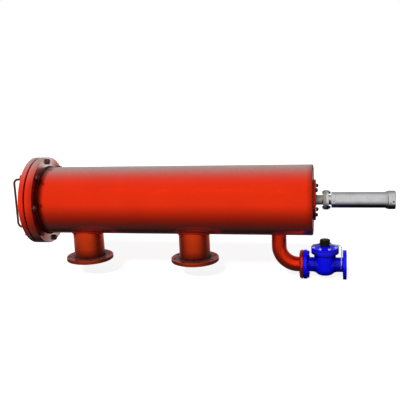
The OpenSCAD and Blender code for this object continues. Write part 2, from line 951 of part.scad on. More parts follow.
module piston() {
    groove_d = cyl_bore - 2 * piston_seal_depth;
    color(bare_steel)
        on_axis(piston_x)
            difference() {
                cylinder(d = cyl_bore - 2 * move_gap, h = piston_t);
                translate([0, 0, -over])
                    cylinder(d = piston_nut_d + 2 * seat_gap, h = piston_t + 2 * over);
                for (z = piston_seal_z())
                    translate([0, 0, z])
                        ring(cyl_bore + 2 * over, groove_d, piston_seal_w);
            }
}

function piston_seal_z() = [piston_t / 4 - piston_seal_w / 2, piston_t * 3 / 4 - piston_seal_w / 2];

module piston_seals() {
    color(rubber_black)
        for (z = piston_seal_z())
            on_axis(piston_x + z + seat_gap)
                ring(cyl_bore - 2 * run_gap, cyl_bore - 2 * piston_seal_depth + 2 * seat_gap,
                    piston_seal_w - 2 * seat_gap);
}

module piston_nut() {
    color(dark_steel)
        on_axis(piston_x + piston_t)
            nut(piston_nut_d);
}

// The rod, with a round head for the swivel and a threaded end for the piston
module piston_rod() {
    tail = piston_t + nut_h(piston_nut_d) + thread_out(piston_nut_d);
    color(bare_steel) {
        on_axis(rod_head_x)
            cylinder(d = rod_head_d, h = rod_head_t);
        on_axis(rod_head_x)
            cylinder(d = rod_d, h = piston_x - rod_head_x);
        on_axis(piston_x)
            cylinder(d = piston_nut_d, h = tail);
    }
}

function suction_x(i) = suction_first + i * suction_pitch;
function suction_turn(i) = i * 360 / suction_count;

module scanner_tube() {
    color(bare_steel)
        difference() {
            on_axis(scanner_x)
                ring(scanner_od, scanner_bore, scanner_end_x - scanner_x);
            for (i = [0:suction_count - 1])
                radial(suction_x(i), suction_turn(i))
                    cylinder(d = suction_bore, h = scanner_od);
            for (turn = jet_turns)
                radial(rotor_x, turn)
                    cylinder(d = jet_bore, h = scanner_od);
        }
}

module scanner_plug() {
    color(bare_steel)
        on_axis(scanner_x) {
            cylinder(d = scanner_bore - 2 * seat_gap, h = plug_depth);
            translate([0, 0, -plug_head_t])
                disc(scanner_od, plug_head_t, edge);
        }
}

// A suction nozzle: a pipe on the scanner tube and a wide mouth that follows the screen
module suction_nozzle() {
    slot_l = mouth_length / 5;
    slot_w = mouth_width - 2 * mouth_lip;
    difference() {
        union() {
            cylinder(d = suction_pipe_od, h = mouth_r - mouth_depth);
            intersection() {
                translate([-mouth_length / 2, -mouth_width / 2, mouth_r - mouth_depth - edge])
                    cube([mouth_length, mouth_width, mouth_depth + edge]);
                rotate([0, 90, 0])
                    cylinder(r = mouth_r, h = 2 * mouth_length, center = true);
            }
        }
        cylinder(d = suction_bore, h = mouth_r - mouth_depth / 2);
        translate([-slot_l / 2, -slot_w / 2, mouth_r - mouth_depth / 2 - edge])
            cube([slot_l, slot_w, mouth_depth]);
        rotate([0, 90, 0])
            cylinder(d = scanner_od + 2 * seat_gap, h = 2 * mouth_length, center = true);
    }
}

module suction_nozzles() {
    color(bare_steel)
        for (i = [0:suction_count - 1])
            radial(suction_x(i), suction_turn(i))
                suction_nozzle();
}

// A collar on the scanner tube with two arms whose tips blow the same way round
module jet_rotor() {
    tip_z = jet_reach - jet_od / 2;
    tip_l = jet_od + jet_tip_out;
    color(bare_steel)
        difference() {
            union() {
                on_axis(rotor_x - rotor_w / 2)
                    cylinder(d = rotor_od, h = rotor_w);
                for (turn = jet_turns)
                    radial(rotor_x, turn) {
                        cylinder(d = jet_od, h = jet_reach);
                        translate([0, 0, tip_z])
                            rotate([-90, 0, 0])
                                cylinder(d = jet_tip_d, h = tip_l);
                    }
            }
            on_axis(rotor_x - rotor_w)
                cylinder(d = scanner_od + 2 * seat_gap, h = 2 * rotor_w);
            for (turn = jet_turns)
                radial(rotor_x, turn) {
                    cylinder(d = jet_bore, h = tip_z);
                    translate([0, 0, tip_z])
                        rotate([-90, 0, 0])
                            cylinder(d = jet_tip_bore, h = tip_l + over);
                }
        }
}

// A plug in the scanner's end with a round room for the rod's head
module swivel_housing() {
    room = rod_head_t + 2 * move_gap;
    color(bare_steel)
        on_axis(scanner_end_x)
            difference() {
                union() {
                    translate([0, 0, -plug_depth])
                        cylinder(d = scanner_bore - 2 * seat_gap, h = plug_depth + edge);
                    cylinder(d = scanner_od, h = swivel_web + room);
                }
                translate([0, 0, swivel_web])
                    cylinder(d = rod_head_d + 2 * run_gap, h = room + over);
            }
}

module swivel_cap() {
    color(bare_steel)
        on_axis(swivel_cap_x)
            ring(scanner_od, rod_d + 2 * move_gap, swivel_cap_t);
}

module drain_gasket() {
    color(rubber_black)
        along_valve(-valve_half - drain_gasket_t)
            ring(drain_bolt_circle - drain_bolt_d - joint_hole_gap, drain_pipe_od, drain_gasket_t);
}

module drain_bolts() {
    color(dark_steel)
        along_valve(-valve_half - drain_gasket_t - drain_flange_t)
            around(drain_bolt_count, drain_bolt_circle, 180 / drain_bolt_count)
                bolt(drain_bolt_d, drain_flange_t + drain_gasket_t + valve_flange_t);
}

module drain_nuts() {
    color(dark_steel)
        along_valve(valve_flange_t - valve_half)
            around(drain_bolt_count, drain_bolt_circle, 180 / drain_bolt_count)
                nut(drain_bolt_d);
}

// The cast body's round middle: a bowl, a waist and the flange under the bonnet
module valve_round() {
    flange_low = diaphragm_z - top_flange_t;
    rotate_extrude() {
        translate([0, bowl_round - valve_bowl])
            square([valve_body_r, diaphragm_z + valve_bowl - bowl_round]);
        translate([0, -valve_bowl])
            square([valve_body_r - bowl_round, bowl_round]);
        intersection() {
            translate([valve_body_r - bowl_round, bowl_round - valve_bowl])
                circle(r = bowl_round);
            translate([0, -valve_bowl])
                square([valve_body_r, bowl_round]);
        }
        translate([0, flange_low])
            square([bonnet_r, top_flange_t]);
        difference() {
            translate([valve_body_r - over, flange_low - top_fillet])
                square([top_fillet + over, top_fillet + over]);
            translate([valve_body_r + top_fillet, flange_low - top_fillet])
                circle(r = top_fillet);
        }
    }
}

// The cast body's swell along the pipe axis
module valve_barrel() {
    rotate([0, 90, 0])
        rotate_extrude()
            intersection() {
                translate([barrel_r - barrel_bow, 0])
                    circle(r = barrel_bow, $fn = 360);
                translate([0, -barrel_half])
                    square([barrel_r, 2 * barrel_half]);
            }
}

module valve_outside() {
    valve_round();
    valve_barrel();
    rotate([0, 90, 0])
        translate([0, 0, over - valve_half])
            cylinder(r = valve_neck_r, h = valve_length - 2 * over);
    for (x = [-valve_half, valve_half - valve_flange_t])
        translate([x, 0, 0])
            rotate([0, 90, 0])
                disc(drain_flange_od, valve_flange_t, edge);
}

// One pipe passage: full round up to the body, then only the half on its side of the bridge
module valve_passage(side) {
    mirror([side > 0 ? 0 : 1, 0, 0])
        translate([passage_end, 0, 0])
            rotate([0, 90, 0])
                cylinder(r = valve_bore_r, h = valve_half);
    intersection() {
        mirror([side > 0 ? 0 : 1, 0, 0])
            translate([lower_r / 2, 0, 0])
                rotate([0, 90, 0])
                    cylinder(r = valve_bore_r - passage_step, h = passage_end - lower_r / 2 + over);
        translate([-valve_half, -valve_half, side > 0 ? bridge : -bridge - valve_half])
            cube([valve_length, valve_length, valve_half]);
    }
}

module valve_inside() {
    translate([0, 0, bridge])
        cylinder(r = chamber_r, h = diaphragm_z);
    translate([0, 0, lower_wall - valve_bowl])
        cylinder(r = lower_r, h = valve_bowl - lower_wall - bridge);
    translate([0, 0, -2 * bridge])
        cylinder(r = seat_r + seat_wall + seat_gap, h = 4 * bridge);
    valve_passage(-1);
    valve_passage(1);
}

module valve_body() {
    screw_depth = top_flange_t - screw_floor;
    color(valve_blue)
        at_valve()
            difference() {
                valve_outside();
                difference() {
                    valve_inside();
                    rotate_extrude()
                        difference() {
                            translate([lower_r - bowl_fillet, lower_wall - valve_bowl])
                                square([bowl_fillet + over, bowl_fillet]);
                            translate([lower_r - bowl_fillet, lower_wall - valve_bowl + bowl_fillet])
                                circle(r = bowl_fillet);
                        }
                }
                for (side = [[-valve_half, joint_hole_gap], [valve_half - valve_flange_t, hole_gap]])
                    translate([side[0], 0, 0])
                        rotate([0, 90, 0])
                            holes(drain_bolt_count, drain_bolt_circle, drain_bolt_d + side[1],
                                valve_flange_t, 180 / drain_bolt_count);
                translate([0, 0, diaphragm_z - screw_depth])
                    around(bonnet_bolt_count, bonnet_bolt_circle, 180 / bonnet_bolt_count)
                        cylinder(d = bonnet_bolt_d + 2 * seat_gap, h = screw_depth + over);
                translate([control_x, 0, 0])
                    rotate([90, 0, 0])
                        cylinder(r = fitting_spigot_r + seat_gap, h = valve_neck_r + over);
            }
}

// A screwed seat ring whose three arms hold the stem's guide
module valve_seat() {
    arm = 6;
    color(bronze)
        at_valve()
            difference() {
                union() {
                    translate([0, 0, -bridge])
                        ring(2 * (seat_r + seat_wall), 2 * seat_r, bridge + seat_top);
                    translate([0, 0, guide_top - guide_l])
                        cylinder(r = guide_r, h = guide_l);
                    for (turn = [30, 150, 270])
                        rotate([0, 0, turn])
                            translate([guide_r / 2, -arm / 2, -bridge - arm])
                                cube([seat_r + seat_wall / 2 - guide_r / 2, arm, 2 * arm]);
                }
                translate([0, 0, -valve_bowl])
                    cylinder(d = stem_d + 2 * run_gap, h = 2 * valve_bowl);
            }
}

// A dished cover with a boss for the pilot cap and a stepped room for the diaphragm's plates
module valve_bonnet() {
    color(valve_blue)
        at_valve()
            difference() {
                rotate_extrude() {
                    translate([0, bonnet_z])
                        square([bonnet_r, bonnet_flange_t]);
                    intersection() {
                        translate([0, bonnet_top + dome_h - dome_bow])
                            circle(r = dome_bow, $fn = 360);
                        translate([0, bonnet_top - over])
                            square([dome_r, dome_h + over]);
                    }
                    translate([0, bonnet_z])
                        square([boss_r, pilot_z - bonnet_z]);
                }
                translate([0, 0, bonnet_z - over])
                    cylinder(r = chamber_r, h = valve_lift + 2 * over);
                translate([0, 0, bonnet_z - over])
                    cylinder(r = plate_r + room_gap, h = valve_lift + plate_t + lift_spare + over);
                translate([0, 0, bonnet_z - over])
                    cylinder(r = pocket_r, h = ceiling_z - bonnet_z + over);
                translate([0, 0, bonnet_z])
                    holes(bonnet_bolt_count, bonnet_bolt_circle, bonnet_bolt_d + hole_gap,
                        bonnet_flange_t, 180 / bonnet_bolt_count);
            }
}

module bonnet_bolts() {
    length = bonnet_flange_t + diaphragm_t + top_flange_t - screw_floor - screw_spare;
    color(bare_steel)
        at_valve()
            translate([0, 0, bonnet_top])
                around(bonnet_bolt_count, bonnet_bolt_circle, 180 / bonnet_bolt_count) {
                    hex(across(bonnet_bolt_d), head_h(bonnet_bolt_d));
                    translate([0, 0, -length])
                        cylinder(d = bonnet_bolt_d, h = length);
                }
}

module diaphragm() {
    color(rubber_black)
        at_valve()
            translate([0, 0, diaphragm_z])
                difference() {
                    ring(2 * bonnet_r, stem_top_d + 2 * seat_gap, diaphragm_t);
                    holes(bonnet_bolt_count, bonnet_bolt_circle, bonnet_bolt_d + hole_gap, diaphragm_t,
                        180 / bonnet_bolt_count);
                }
}

// A point on the ring of radius wire round the spring's helix at the given step and side
function spring_point(step, side, low, rise) =
    let (turn = 360 * spring_turns * step / spring_steps)
    let (tilt = 360 * side / spring_sides)
    let (reach = spring_r + spring_wire / 2 * cos(tilt))
    [reach * cos(turn), reach * sin(turn), low + rise * step / spring_steps + spring_wire / 2 * sin(tilt)];

module valve_spring() {
    low = bonnet_z + plate_t + spring_wire / 2 + move_gap / 2;
    rise = ceiling_z - spring_wire / 2 - move_gap / 2 - low;
    points = [
        for (step = [0:spring_steps])
            for (side = [0:spring_sides - 1])
                spring_point(step, side, low, rise)
    ];
    color(bare_steel)
        at_valve()
            polyhedron(points = points, faces = tube_faces(spring_steps + 1, spring_sides));
}

// Guide end, thick middle and threaded top of the stem
module valve_stem() {
    color(bare_steel)
        at_valve() {
            translate([0, 0, stem_low])
                cylinder(d = stem_d, h = shoulder_z - stem_low);
            translate([0, 0, shoulder_z])
                cylinder(d = stem_body_d, h = shoulder_top - shoulder_z);
            translate([0, 0, shoulder_top])
                cylinder(d = stem_top_d, h = stem_top - shoulder_top);
            translate([0, 0, plug_z - nut_h(stem_top_d)])
                hex(across(stem_top_d), nut_h(stem_top_d));
        }
}

module valve_plug() {
    color(bare_steel)
        at_valve()
            translate([0, 0, plug_z + plug_seal_t])
                ring(2 * plug_r, stem_d + 2 * seat_gap, plug_t);
}

module plug_seal() {
    color(rubber_black)
        at_valve()
            translate([0, 0, plug_z])
                ring(2 * plug_r, stem_d + 2 * seat_gap, plug_seal_t);
}

// The two plates that grip the diaphragm, and the nut on top of them
module stem_plates() {
    color(bare_steel)
        at_valve() {
            for (z = [diaphragm_z - plate_t, bonnet_z])
                translate([0, 0, z])
                    ring(2 * plate_r, stem_top_d + 2 * seat_gap, plate_t);
            translate([0, 0, bonnet_z + plate_t + seat_gap])
                nut(stem_top_d);
        }
}

// A moulded round cap whose skirt goes round the bonnet's boss, with a side port for the control line
module pilot_cap() {
    round_r = 6;
    skirt_h = pilot_z - skirt_z;
    height = skirt_h + pilot_h;
    color(mould_black)
        at_valve()
            difference() {
                translate([0, 0, skirt_z])
                    rotate_extrude() {
                        square([pilot_d / 2, height - round_r]);
                        square([pilot_d / 2 - round_r, height]);
                        translate([pilot_d / 2 - round_r, height - round_r])
                            intersection() {
                                circle(r = round_r);
                                square([round_r, round_r]);
                            }
                    }
                translate([0, 0, pilot_z])
                    mirror([0, 0, 1])
                        cylinder(r = boss_r + seat_gap, h = skirt_h + over);
                translate([0, 0, control_z])
                    rotate([0, 0, control_angle])
                        rotate([0, 90, 0])
                            translate([0, 0, pilot_d / 2 - fitting_l])
                                cylinder(r = fitting_spigot_r + seat_gap, h = pilot_d);
            }
}

// The control tube's path as [reach, height, slope], from the pilot cap out and then down
function control_path() = concat(
    [[pilot_d / 2 + fitting_l - tube_depth, control_z, 0]],
    [
        for (slope = [0:90 / control_steps:90])
            [
                control_r - control_bend + control_bend * sin(slope),
                control_z - control_bend + control_bend * cos(slope),
                slope
            ]
    ],
    [[control_r, fitting_top - tube_depth, 90]]
);

// A point at the given side of the tube round one entry of its path
function control_point(at, side) =
    let (tilt = 360 * side / control_sides)
    let (out = control_d / 2 * cos(tilt))
    [at[0] + out * sin(at[2]), control_d / 2 * sin(tilt), at[1] + out * cos(at[2])];

// The faces of a closed tube made of rings of points, with a cap at each end
function tube_faces(rings, sides) = concat(
    [
        for (step = [0:rings - 2])
            for (side = [0:sides - 1])
                let (next = (side + 1) % sides)
                [
                    step * sides + side, (step + 1) * sides + side,
                    (step + 1) * sides + next, step * sides + next
                ]
    ],
    [[for (side = [0:sides - 1]) side]],
    [[for (side = [sides - 1:-1:0]) (rings - 1) * sides + side]]
);

// A bent tube from the pilot cap's fitting, over the bonnet and down to the neck's fitting
module control_tube() {
    path = control_path();
    points = [for (at = path) for (side = [0:control_sides - 1]) control_point(at, side)];
    color(bare_steel)
        at_valve()
            rotate([0, 0, control_angle])
                polyhedron(points = points, faces = tube_faces(len(path), control_sides));
}

// The fittings that join the control tube to the pilot cap and to the valve's neck
module control_fittings() {
    socket_d = control_d + 2 * seat_gap;
    color(brass)
        at_valve() {
            rotate([0, 0, control_angle])
                translate([pilot_d / 2, 0, control_z])
                    rotate([0, 90, 0])
                        difference() {
                            union() {
                                translate([0, 0, -fitting_l / 2])
                                    cylinder(r = fitting_spigot_r, h = fitting_l);
                                translate([0, 0, move_gap])
                                    hex(fitting_af, fitting_l - move_gap);
                            }
                            translate([0, 0, fitting_l - tube_depth])
                                cylinder(d = socket_d, h = tube_depth + over);
                        }
            translate([control_x, control_y, 0])
                difference() {
                    union() {
                        translate([0, 0, fitting_low])
                            cylinder(r = fitting_r, h = fitting_top - fitting_low);
                        rotate([-90, 0, 0])
                            cylinder(r = fitting_spigot_r, h = -control_y - valve_neck_r + fitting_r);
                    }
                    translate([0, 0, fitting_top - tube_depth])
                        cylinder(d = socket_d, h = tube_depth + over);
                }
        }
}

housing_shell();
body_flange();
end_head();
cover_plate();
cover_gasket();
cover_bolts();
cover_nuts();
front_handle();
rear_handle();
inlet_pipe();
inlet_flange();
outlet_pipe();
outlet_flange();
drain_elbow();
drain_flange();
screen_carrier();
flush_wall();
carrier_bush();
wall_bush();
coarse_screen();
screen_cage();
screen_mesh();
screen_seals();
end_cover();
cylinder_neck();
end_gasket();
end_studs();
mount_bolts();
front_head();
rod_bush();
rod_seal();
cylinder_tube();
lock_ring();
rear_cap();
piston();
piston_seals();
piston_nut();
piston_rod();
scanner_tube();
scanner_plug();
suction_nozzles();
jet_rotor();
swivel_housing();
swivel_cap();
drain_gasket();
drain_bolts();
drain_nuts();
valve_body();
valve_seat();
valve_bonnet();
bonnet_bolts();
diaphragm();
valve_spring();
valve_stem();
valve_plug();
plug_seal();
stem_plates();
pilot_cap();
control_tube();
control_fittings();
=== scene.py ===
"""The looks of a self cleaning filter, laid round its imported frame.

Paint, metal, plastic and rubber finishes go on the frame's own pieces. Weld beads, bolts, nuts
and the valve's spring are surfaces worked out with numpy. All sizes are in metres, in the frame's
own axes.
"""
import math
from collections import namedtuple

import bpy
import numpy as np
from mathutils import Matrix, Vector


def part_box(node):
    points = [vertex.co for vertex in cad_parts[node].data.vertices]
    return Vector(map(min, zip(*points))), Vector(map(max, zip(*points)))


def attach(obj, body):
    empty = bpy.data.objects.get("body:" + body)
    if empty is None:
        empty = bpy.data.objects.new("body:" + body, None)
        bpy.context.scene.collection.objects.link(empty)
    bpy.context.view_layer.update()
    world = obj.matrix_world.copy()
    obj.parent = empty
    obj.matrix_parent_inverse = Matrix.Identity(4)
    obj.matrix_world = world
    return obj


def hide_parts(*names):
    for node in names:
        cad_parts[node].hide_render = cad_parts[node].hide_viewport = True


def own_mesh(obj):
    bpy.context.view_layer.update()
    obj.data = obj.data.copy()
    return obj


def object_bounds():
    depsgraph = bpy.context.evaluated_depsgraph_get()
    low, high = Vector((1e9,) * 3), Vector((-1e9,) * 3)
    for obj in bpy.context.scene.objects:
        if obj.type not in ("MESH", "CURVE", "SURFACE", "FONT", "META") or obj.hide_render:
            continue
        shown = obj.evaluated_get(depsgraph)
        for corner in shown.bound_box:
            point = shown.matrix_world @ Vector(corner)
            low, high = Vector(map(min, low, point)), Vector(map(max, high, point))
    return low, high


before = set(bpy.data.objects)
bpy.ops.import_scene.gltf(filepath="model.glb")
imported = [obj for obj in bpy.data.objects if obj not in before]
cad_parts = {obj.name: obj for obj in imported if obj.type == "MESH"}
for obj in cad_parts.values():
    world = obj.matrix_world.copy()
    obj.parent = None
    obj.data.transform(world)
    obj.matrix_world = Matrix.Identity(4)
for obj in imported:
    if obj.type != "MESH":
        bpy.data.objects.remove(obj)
CAD_BOX = [list(corner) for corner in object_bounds()]

bl_info = {
    "name": "Self Cleaning Filter Looks",
    "version": (1, 0, 0),
    "blender": (4, 5, 0),
    "location": "View3D > Sidebar > Filter",
    "description": "Finishes, welds, fasteners and stage for the filter",
    "category": "Object",
}

# Places and sizes, read from the frame


def middle_of(node):
    """The middle of a node's box."""
    low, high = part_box(node)
    return (low + high) / 2.0


def width_of(node):
    """A node's size along Y."""
    low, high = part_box(node)
    return high.y - low.y


AXIS_Z = middle_of("housing_shell").z
SHELL_R = width_of("housing_shell") / 2.0
SHELL_END_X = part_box("housing_shell")[1].x
END_HEAD_R = width_of("end_head") / 2.0
COVER_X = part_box("cover_plate")[0].x
FLANGE_BACK_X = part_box("body_flange")[1].x
FACE_SKIN = 0.0005
FLANGE_EDGE_X = FLANGE_BACK_X + FACE_SKIN
NOZZLES_X = (middle_of("inlet_flange").x, middle_of("outlet_flange").x)
NOZZLE_R = width_of("inlet_pipe") / 2.0
NOZZLE_FLANGE_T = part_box("inlet_flange")[1].z
DRAIN_R = width_of("drain_elbow") / 2.0
DRAIN_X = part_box("drain_elbow")[0].x + DRAIN_R
DRAIN_FLANGE_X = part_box("drain_flange")[0].x
VALVE_X = middle_of("diaphragm").x
VALVE_Z = middle_of("drain_flange").z
BONNET_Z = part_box("valve_bonnet")[0].z
END_COVER_FACE_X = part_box("end_cover")[1].x
HANDLE_Y = middle_of("rear_handle").y
HANDLE_R = width_of("rear_handle") / 2.0
HANDLE_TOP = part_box("rear_handle")[1].z - HANDLE_R

# Sizes that no box gives: the screen's bore, the valve's barrel, necks and flanges, the cylinder's
# neck, the valve's spring and each ring of bolts
SCREEN_R = 0.150
BARREL_R = 0.064
VALVE_NECK_R = 0.050
VALVE_FLANGE_T = 0.024
VALVE_NECK_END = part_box("valve_body")[1].x - VALVE_X - VALVE_FLANGE_T
NECK_R = 0.033
NECK_FLANGE_T = 0.018
NECK_FLANGE_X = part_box("cylinder_neck")[1].x - NECK_FLANGE_T
SPRING_WIRE = 0.004
SPRING_TURNS = 2.5
BoltRing = namedtuple("BoltRing", "d count circle turn")
COVER_RING = BoltRing(0.024, 8, 0.566, 0.0)
DRAIN_RING = BoltRing(0.016, 8, 0.160, 22.5)
MOUNT_RING = BoltRing(0.012, 4, 0.101, 0.0)
END_RING = BoltRing(0.016, 4, 0.236, 45.0)
BONNET_RING = BoltRing(0.012, 8, 0.160, 22.5)

RED_NODES = (
    "housing_shell", "body_flange", "end_head", "cover_plate", "drain_elbow", "drain_flange",
    "end_cover",
)
NOZZLE_NODES = ("inlet_pipe", "inlet_flange", "outlet_pipe", "outlet_flange")
HANDLE_NODES = ("front_handle", "rear_handle")
VALVE_NODES = ("valve_body", "valve_bonnet")
GREY_NODES = ("front_head", "cylinder_tube", "lock_ring", "rear_cap")
STAINLESS_NODES = (
    "screen_carrier", "flush_wall", "coarse_screen", "screen_cage", "scanner_tube",
    "scanner_plug", "suction_nozzles", "jet_rotor", "swivel_housing", "swivel_cap", "piston",
    "piston_rod", "valve_stem", "valve_plug", "stem_plates", "valve_spring",
)
BRONZE_NODES = ("carrier_bush", "wall_bush", "rod_bush", "valve_seat")
RUBBER_NODES = (
    "cover_gasket", "end_gasket", "drain_gasket", "screen_seals", "rod_seal", "piston_seals",
    "diaphragm", "plug_seal",
)


# Surfaces

SHARP_ANGLE = math.radians(35.0)

# The spans of a bead in a corner and of one on a face, in degrees
FILLET_SPAN = 90.0
FACE_SPAN = 180.0

# The beads' sizes as shares of the width, a ripple's bow in radians, the toe's power, and counts
RIPPLE = 0.07
RIPPLE_BOW = 1.3
RIPPLE_PITCH = 0.55
BEAD_TOE = 0.86
TOE_POWER = 0.4
BEAD_SINK = 0.15
FEWEST_RIPPLES = 24
STEPS_PER_RIPPLE = 6
MOST_STEPS = 1200
SECTION_STEPS = 9

# The bolts' sizes as shares of the diameter, and their steps
HEAD_SHARE = 0.64
NUT_SHARE = 0.8
FLATS_SHARE = 1.5
WASHER_R = 0.72
WASHER_T = 0.03
PITCH_SHARE = 0.125
THREAD_DEPTH = 0.0625
RUNOUT = 0.1
THREAD_STOP = 0.08
TIP_LENGTH = 0.06
TIP_R = (0.46, 0.40)
ROOT_R = 0.44
HOLE_R = 0.505
COUNTERSINK_R = 0.56
COUNTERSINK_DEPTH = 0.05
SIDES = 60
ROWS_PER_PITCH = 6

# The circle where a corner's cut ends, as a share of the flats' width, and the cut's slope
CORNER_CIRCLE = 0.475
CORNER_CUT = math.tan(math.radians(30.0))

SPRING_STEPS = 240
SPRING_SIDES = 16


def full_turn(steps):
    """The angles of equal steps round a full turn."""
    return np.linspace(0.0, 2.0 * np.pi, steps, endpoint=False)


def grid_faces(rows, columns, wrap_rows=False):
    """Quads of a grid whose columns close round; its rows close too where wrap_rows is true."""
    row = np.arange(rows if wrap_rows else rows - 1)[:, None]
    column = np.arange(columns)[None, :]
    after = (column + 1) % columns
    below = (row + 1) % rows
    return np.stack(
        [row * columns + column, row * columns + after, below * columns + after,
         below * columns + column], axis=-1).reshape(-1, 4)


def end_caps(rows, columns):
    """The two faces that close a grid's first and last rows."""
    first = list(range(columns))
    return [first[::-1], [(rows - 1) * columns + corner for corner in first]]


def make_piece(name, points, faces, material, slot):
    """A mesh object on the housing, smooth but for its edges over the sharp angle."""
    mesh = bpy.data.meshes.new(name)
    mesh.from_pydata(points.tolist(), [], [list(face) for face in faces])
    mesh.update()
    mesh.polygons.foreach_set("use_smooth", np.ones(len(mesh.polygons), dtype=bool))
    mesh.set_sharp_from_angle(angle=SHARP_ANGLE)
    mesh.materials.append(material)
    piece = bpy.data.objects.new(name, mesh)
    bpy.context.scene.collection.objects.link(piece)
    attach(piece, "housing")
    return piece


def join_parts(parts):
    """One point array and one face list from several pairs of them."""
    points, faces, first = [], [], 0
    for part_points, part_faces in parts:
        points.append(part_points)
        faces.extend((np.asarray(face) + first).tolist() for face in part_faces)
        first += len(part_points)
    return np.concatenate(points), faces


def ripples_round(radius, width):
    """How many ripples a bead has round a circle, and how many steps its path has."""
    ripples = max(FEWEST_RIPPLES, int(2.0 * np.pi * radius / (RIPPLE_PITCH * width)))
    return ripples, min(MOST_STEPS, ripples * STEPS_PER_RIPPLE)


def bead(path, along, across, width, ripples, span=FILLET_SPAN):
    """A weld bead on a closed path.

    At each point of the path the section is an arc of radius width from the direction along to
    the direction across, over span degrees, closed through a point sunk below the path. The radius
    swells and falls along the path as 1 + ripple cos(ripples s + bow), where the bow makes each
    ripple a crescent, and it is a little less at the arc's two ends.
    """
    count = len(path)
    turn = full_turn(count)[:, None]
    lean = np.radians(np.linspace(0.0, span, SECTION_STEPS))[None, :]
    bow = RIPPLE_BOW * np.cos(2.0 * lean * FILLET_SPAN / span)
    size = width * (1.0 + RIPPLE * np.cos(ripples * turn + bow))
    full = np.sin(np.pi * lean / lean.max()) ** TOE_POWER
    size = size * (BEAD_TOE + (1.0 - BEAD_TOE) * full)
    way = (np.cos(lean)[..., None] * along[:, None, :]
           + np.sin(lean)[..., None] * across[:, None, :])
    arc = path[:, None, :] + size[..., None] * way
    middle = along + across if span == FILLET_SPAN else across
    root = path - BEAD_SINK * width * middle
    section = np.concatenate([arc, root[:, None, :]], axis=1)
    points = section.reshape(-1, 3)
    return points, grid_faces(count, section.shape[1], wrap_rows=True)


def ring_bead(centre, radius, axis, width, span=FILLET_SPAN):
    """A bead round a bar or pipe square to Y: the path is centre + radius (u cos s + v sin s).

    Along is the axis, the way in which the bar leaves the plate, and across is radial. With a span
    of 180 degrees the bead lies flat on a face: along is then radial and across is the axis.
    """
    u = np.cross((0.0, 1.0, 0.0), axis)
    v = np.cross(axis, u)
    ripples, count = ripples_round(radius, width)
    s = full_turn(count)[:, None]
    out = np.cos(s) * u + np.sin(s) * v
    path = np.asarray(centre) + radius * out
    straight = np.broadcast_to(axis, path.shape)
    if span == FILLET_SPAN:
        return bead(path, straight, out, width, ripples)
    return bead(path, out, straight, width, ripples, span)


def saddle_bead(x, pipe_r, width):
    """A bead where an upright pipe meets the housing's underside.

    The path is (x + r cos s, r sin s, axis - sqrt(R^2 - (r sin s)^2)). Along runs down the pipe
    and across runs over the housing, each square to the other surface's normal.
    """
    ripples, count = ripples_round(pipe_r, width)
    s = full_turn(count)
    y = pipe_r * np.sin(s)
    drop = np.sqrt(SHELL_R ** 2 - y ** 2)
    path = np.stack([x + pipe_r * np.cos(s), y, AXIS_Z - drop], axis=1)
    pipe_normal = np.stack([np.cos(s), np.sin(s), np.zeros(count)], axis=1)
    shell_normal = np.stack([np.zeros(count), y, -drop], axis=1) / SHELL_R
    share = np.sum(pipe_normal * shell_normal, axis=1)[:, None]
    along = shell_normal - share * pipe_normal
    across = pipe_normal - share * shell_normal
    along /= np.linalg.norm(along, axis=1)[:, None]
    across /= np.linalg.norm(across, axis=1)[:, None]
    return bead(path, along, across, width, ripples)


def hex_radius(flats):
    """Radius of a hexagon of the given width over its flats, at each of the section's angles.

    Half the width over the cosine of the angle from the nearest flat, with a corner at angle 0.
    """
    angle = full_turn(SIDES)
    return flats / 2.0 / np.cos(np.mod(angle, np.pi / 3.0) - np.pi / 6.0)


def flat_row(radius, height):
    """A round row of a turned surface at one height."""
    return np.full(SIDES, radius), np.full(SIDES, height)


def hex_rows(flats, low, high, round_low, round_high):
    """Rows of a hexagon between two heights, its corners cut at 30 degrees at the rounded ends."""
    radius = hex_radius(flats)
    circle = CORNER_CIRCLE * flats
    cut = (radius - circle) * CORNER_CUT
    return [
        flat_row(circle, low) if round_low else (radius, np.full(SIDES, low)),
        (radius, low + cut * round_low),
        (radius, high - cut * round_high),
        flat_row(circle, high) if round_high else (radius, np.full(SIDES, high)),
    ]


def threaded_end(d, start, end):
    """Rows of a shank from just before its thread to its cut tip.

    The thread's radius is d/2 less a triangle wave of height minus turns.
    """
    pitch = PITCH_SHARE * d
    depth = THREAD_DEPTH * d
    turns = np.arange(SIDES) / SIDES
    rows = [flat_row(d / 2.0, start - RUNOUT * d)]
    for height in np.arange(start, end - THREAD_STOP * d, pitch / ROWS_PER_PITCH):
        wave = np.abs(np.mod(height / pitch - turns, 1.0) * 2.0 - 1.0)
        rows.append((d / 2.0 - depth * wave, np.full(SIDES, height)))
    return rows + [flat_row(TIP_R[0] * d, end - TIP_LENGTH * d), flat_row(TIP_R[1] * d, end)]


def plain_root(d, low):
    """Rows of a shank's lower end, its edge cut."""
    return [flat_row(ROOT_R * d, low), flat_row(d / 2.0, low + TIP_LENGTH * d)]


def turned_surface(rows, closed):
    """Points and faces of stacked rows of (radius, height), each row a full turn.

    A closed surface joins its last row to its first; an open one is capped at each end.
    """
    radius = np.stack([row[0] for row in rows])
    height = np.stack([row[1] for row in rows])
    angle = full_turn(SIDES)
    points = np.stack([radius * np.cos(angle), radius * np.sin(angle), height], axis=-1)
    faces = grid_faces(len(rows), SIDES, wrap_rows=closed).tolist()
    if not closed:
        faces += end_caps(len(rows), SIDES)
    return points.reshape(-1, 3), faces


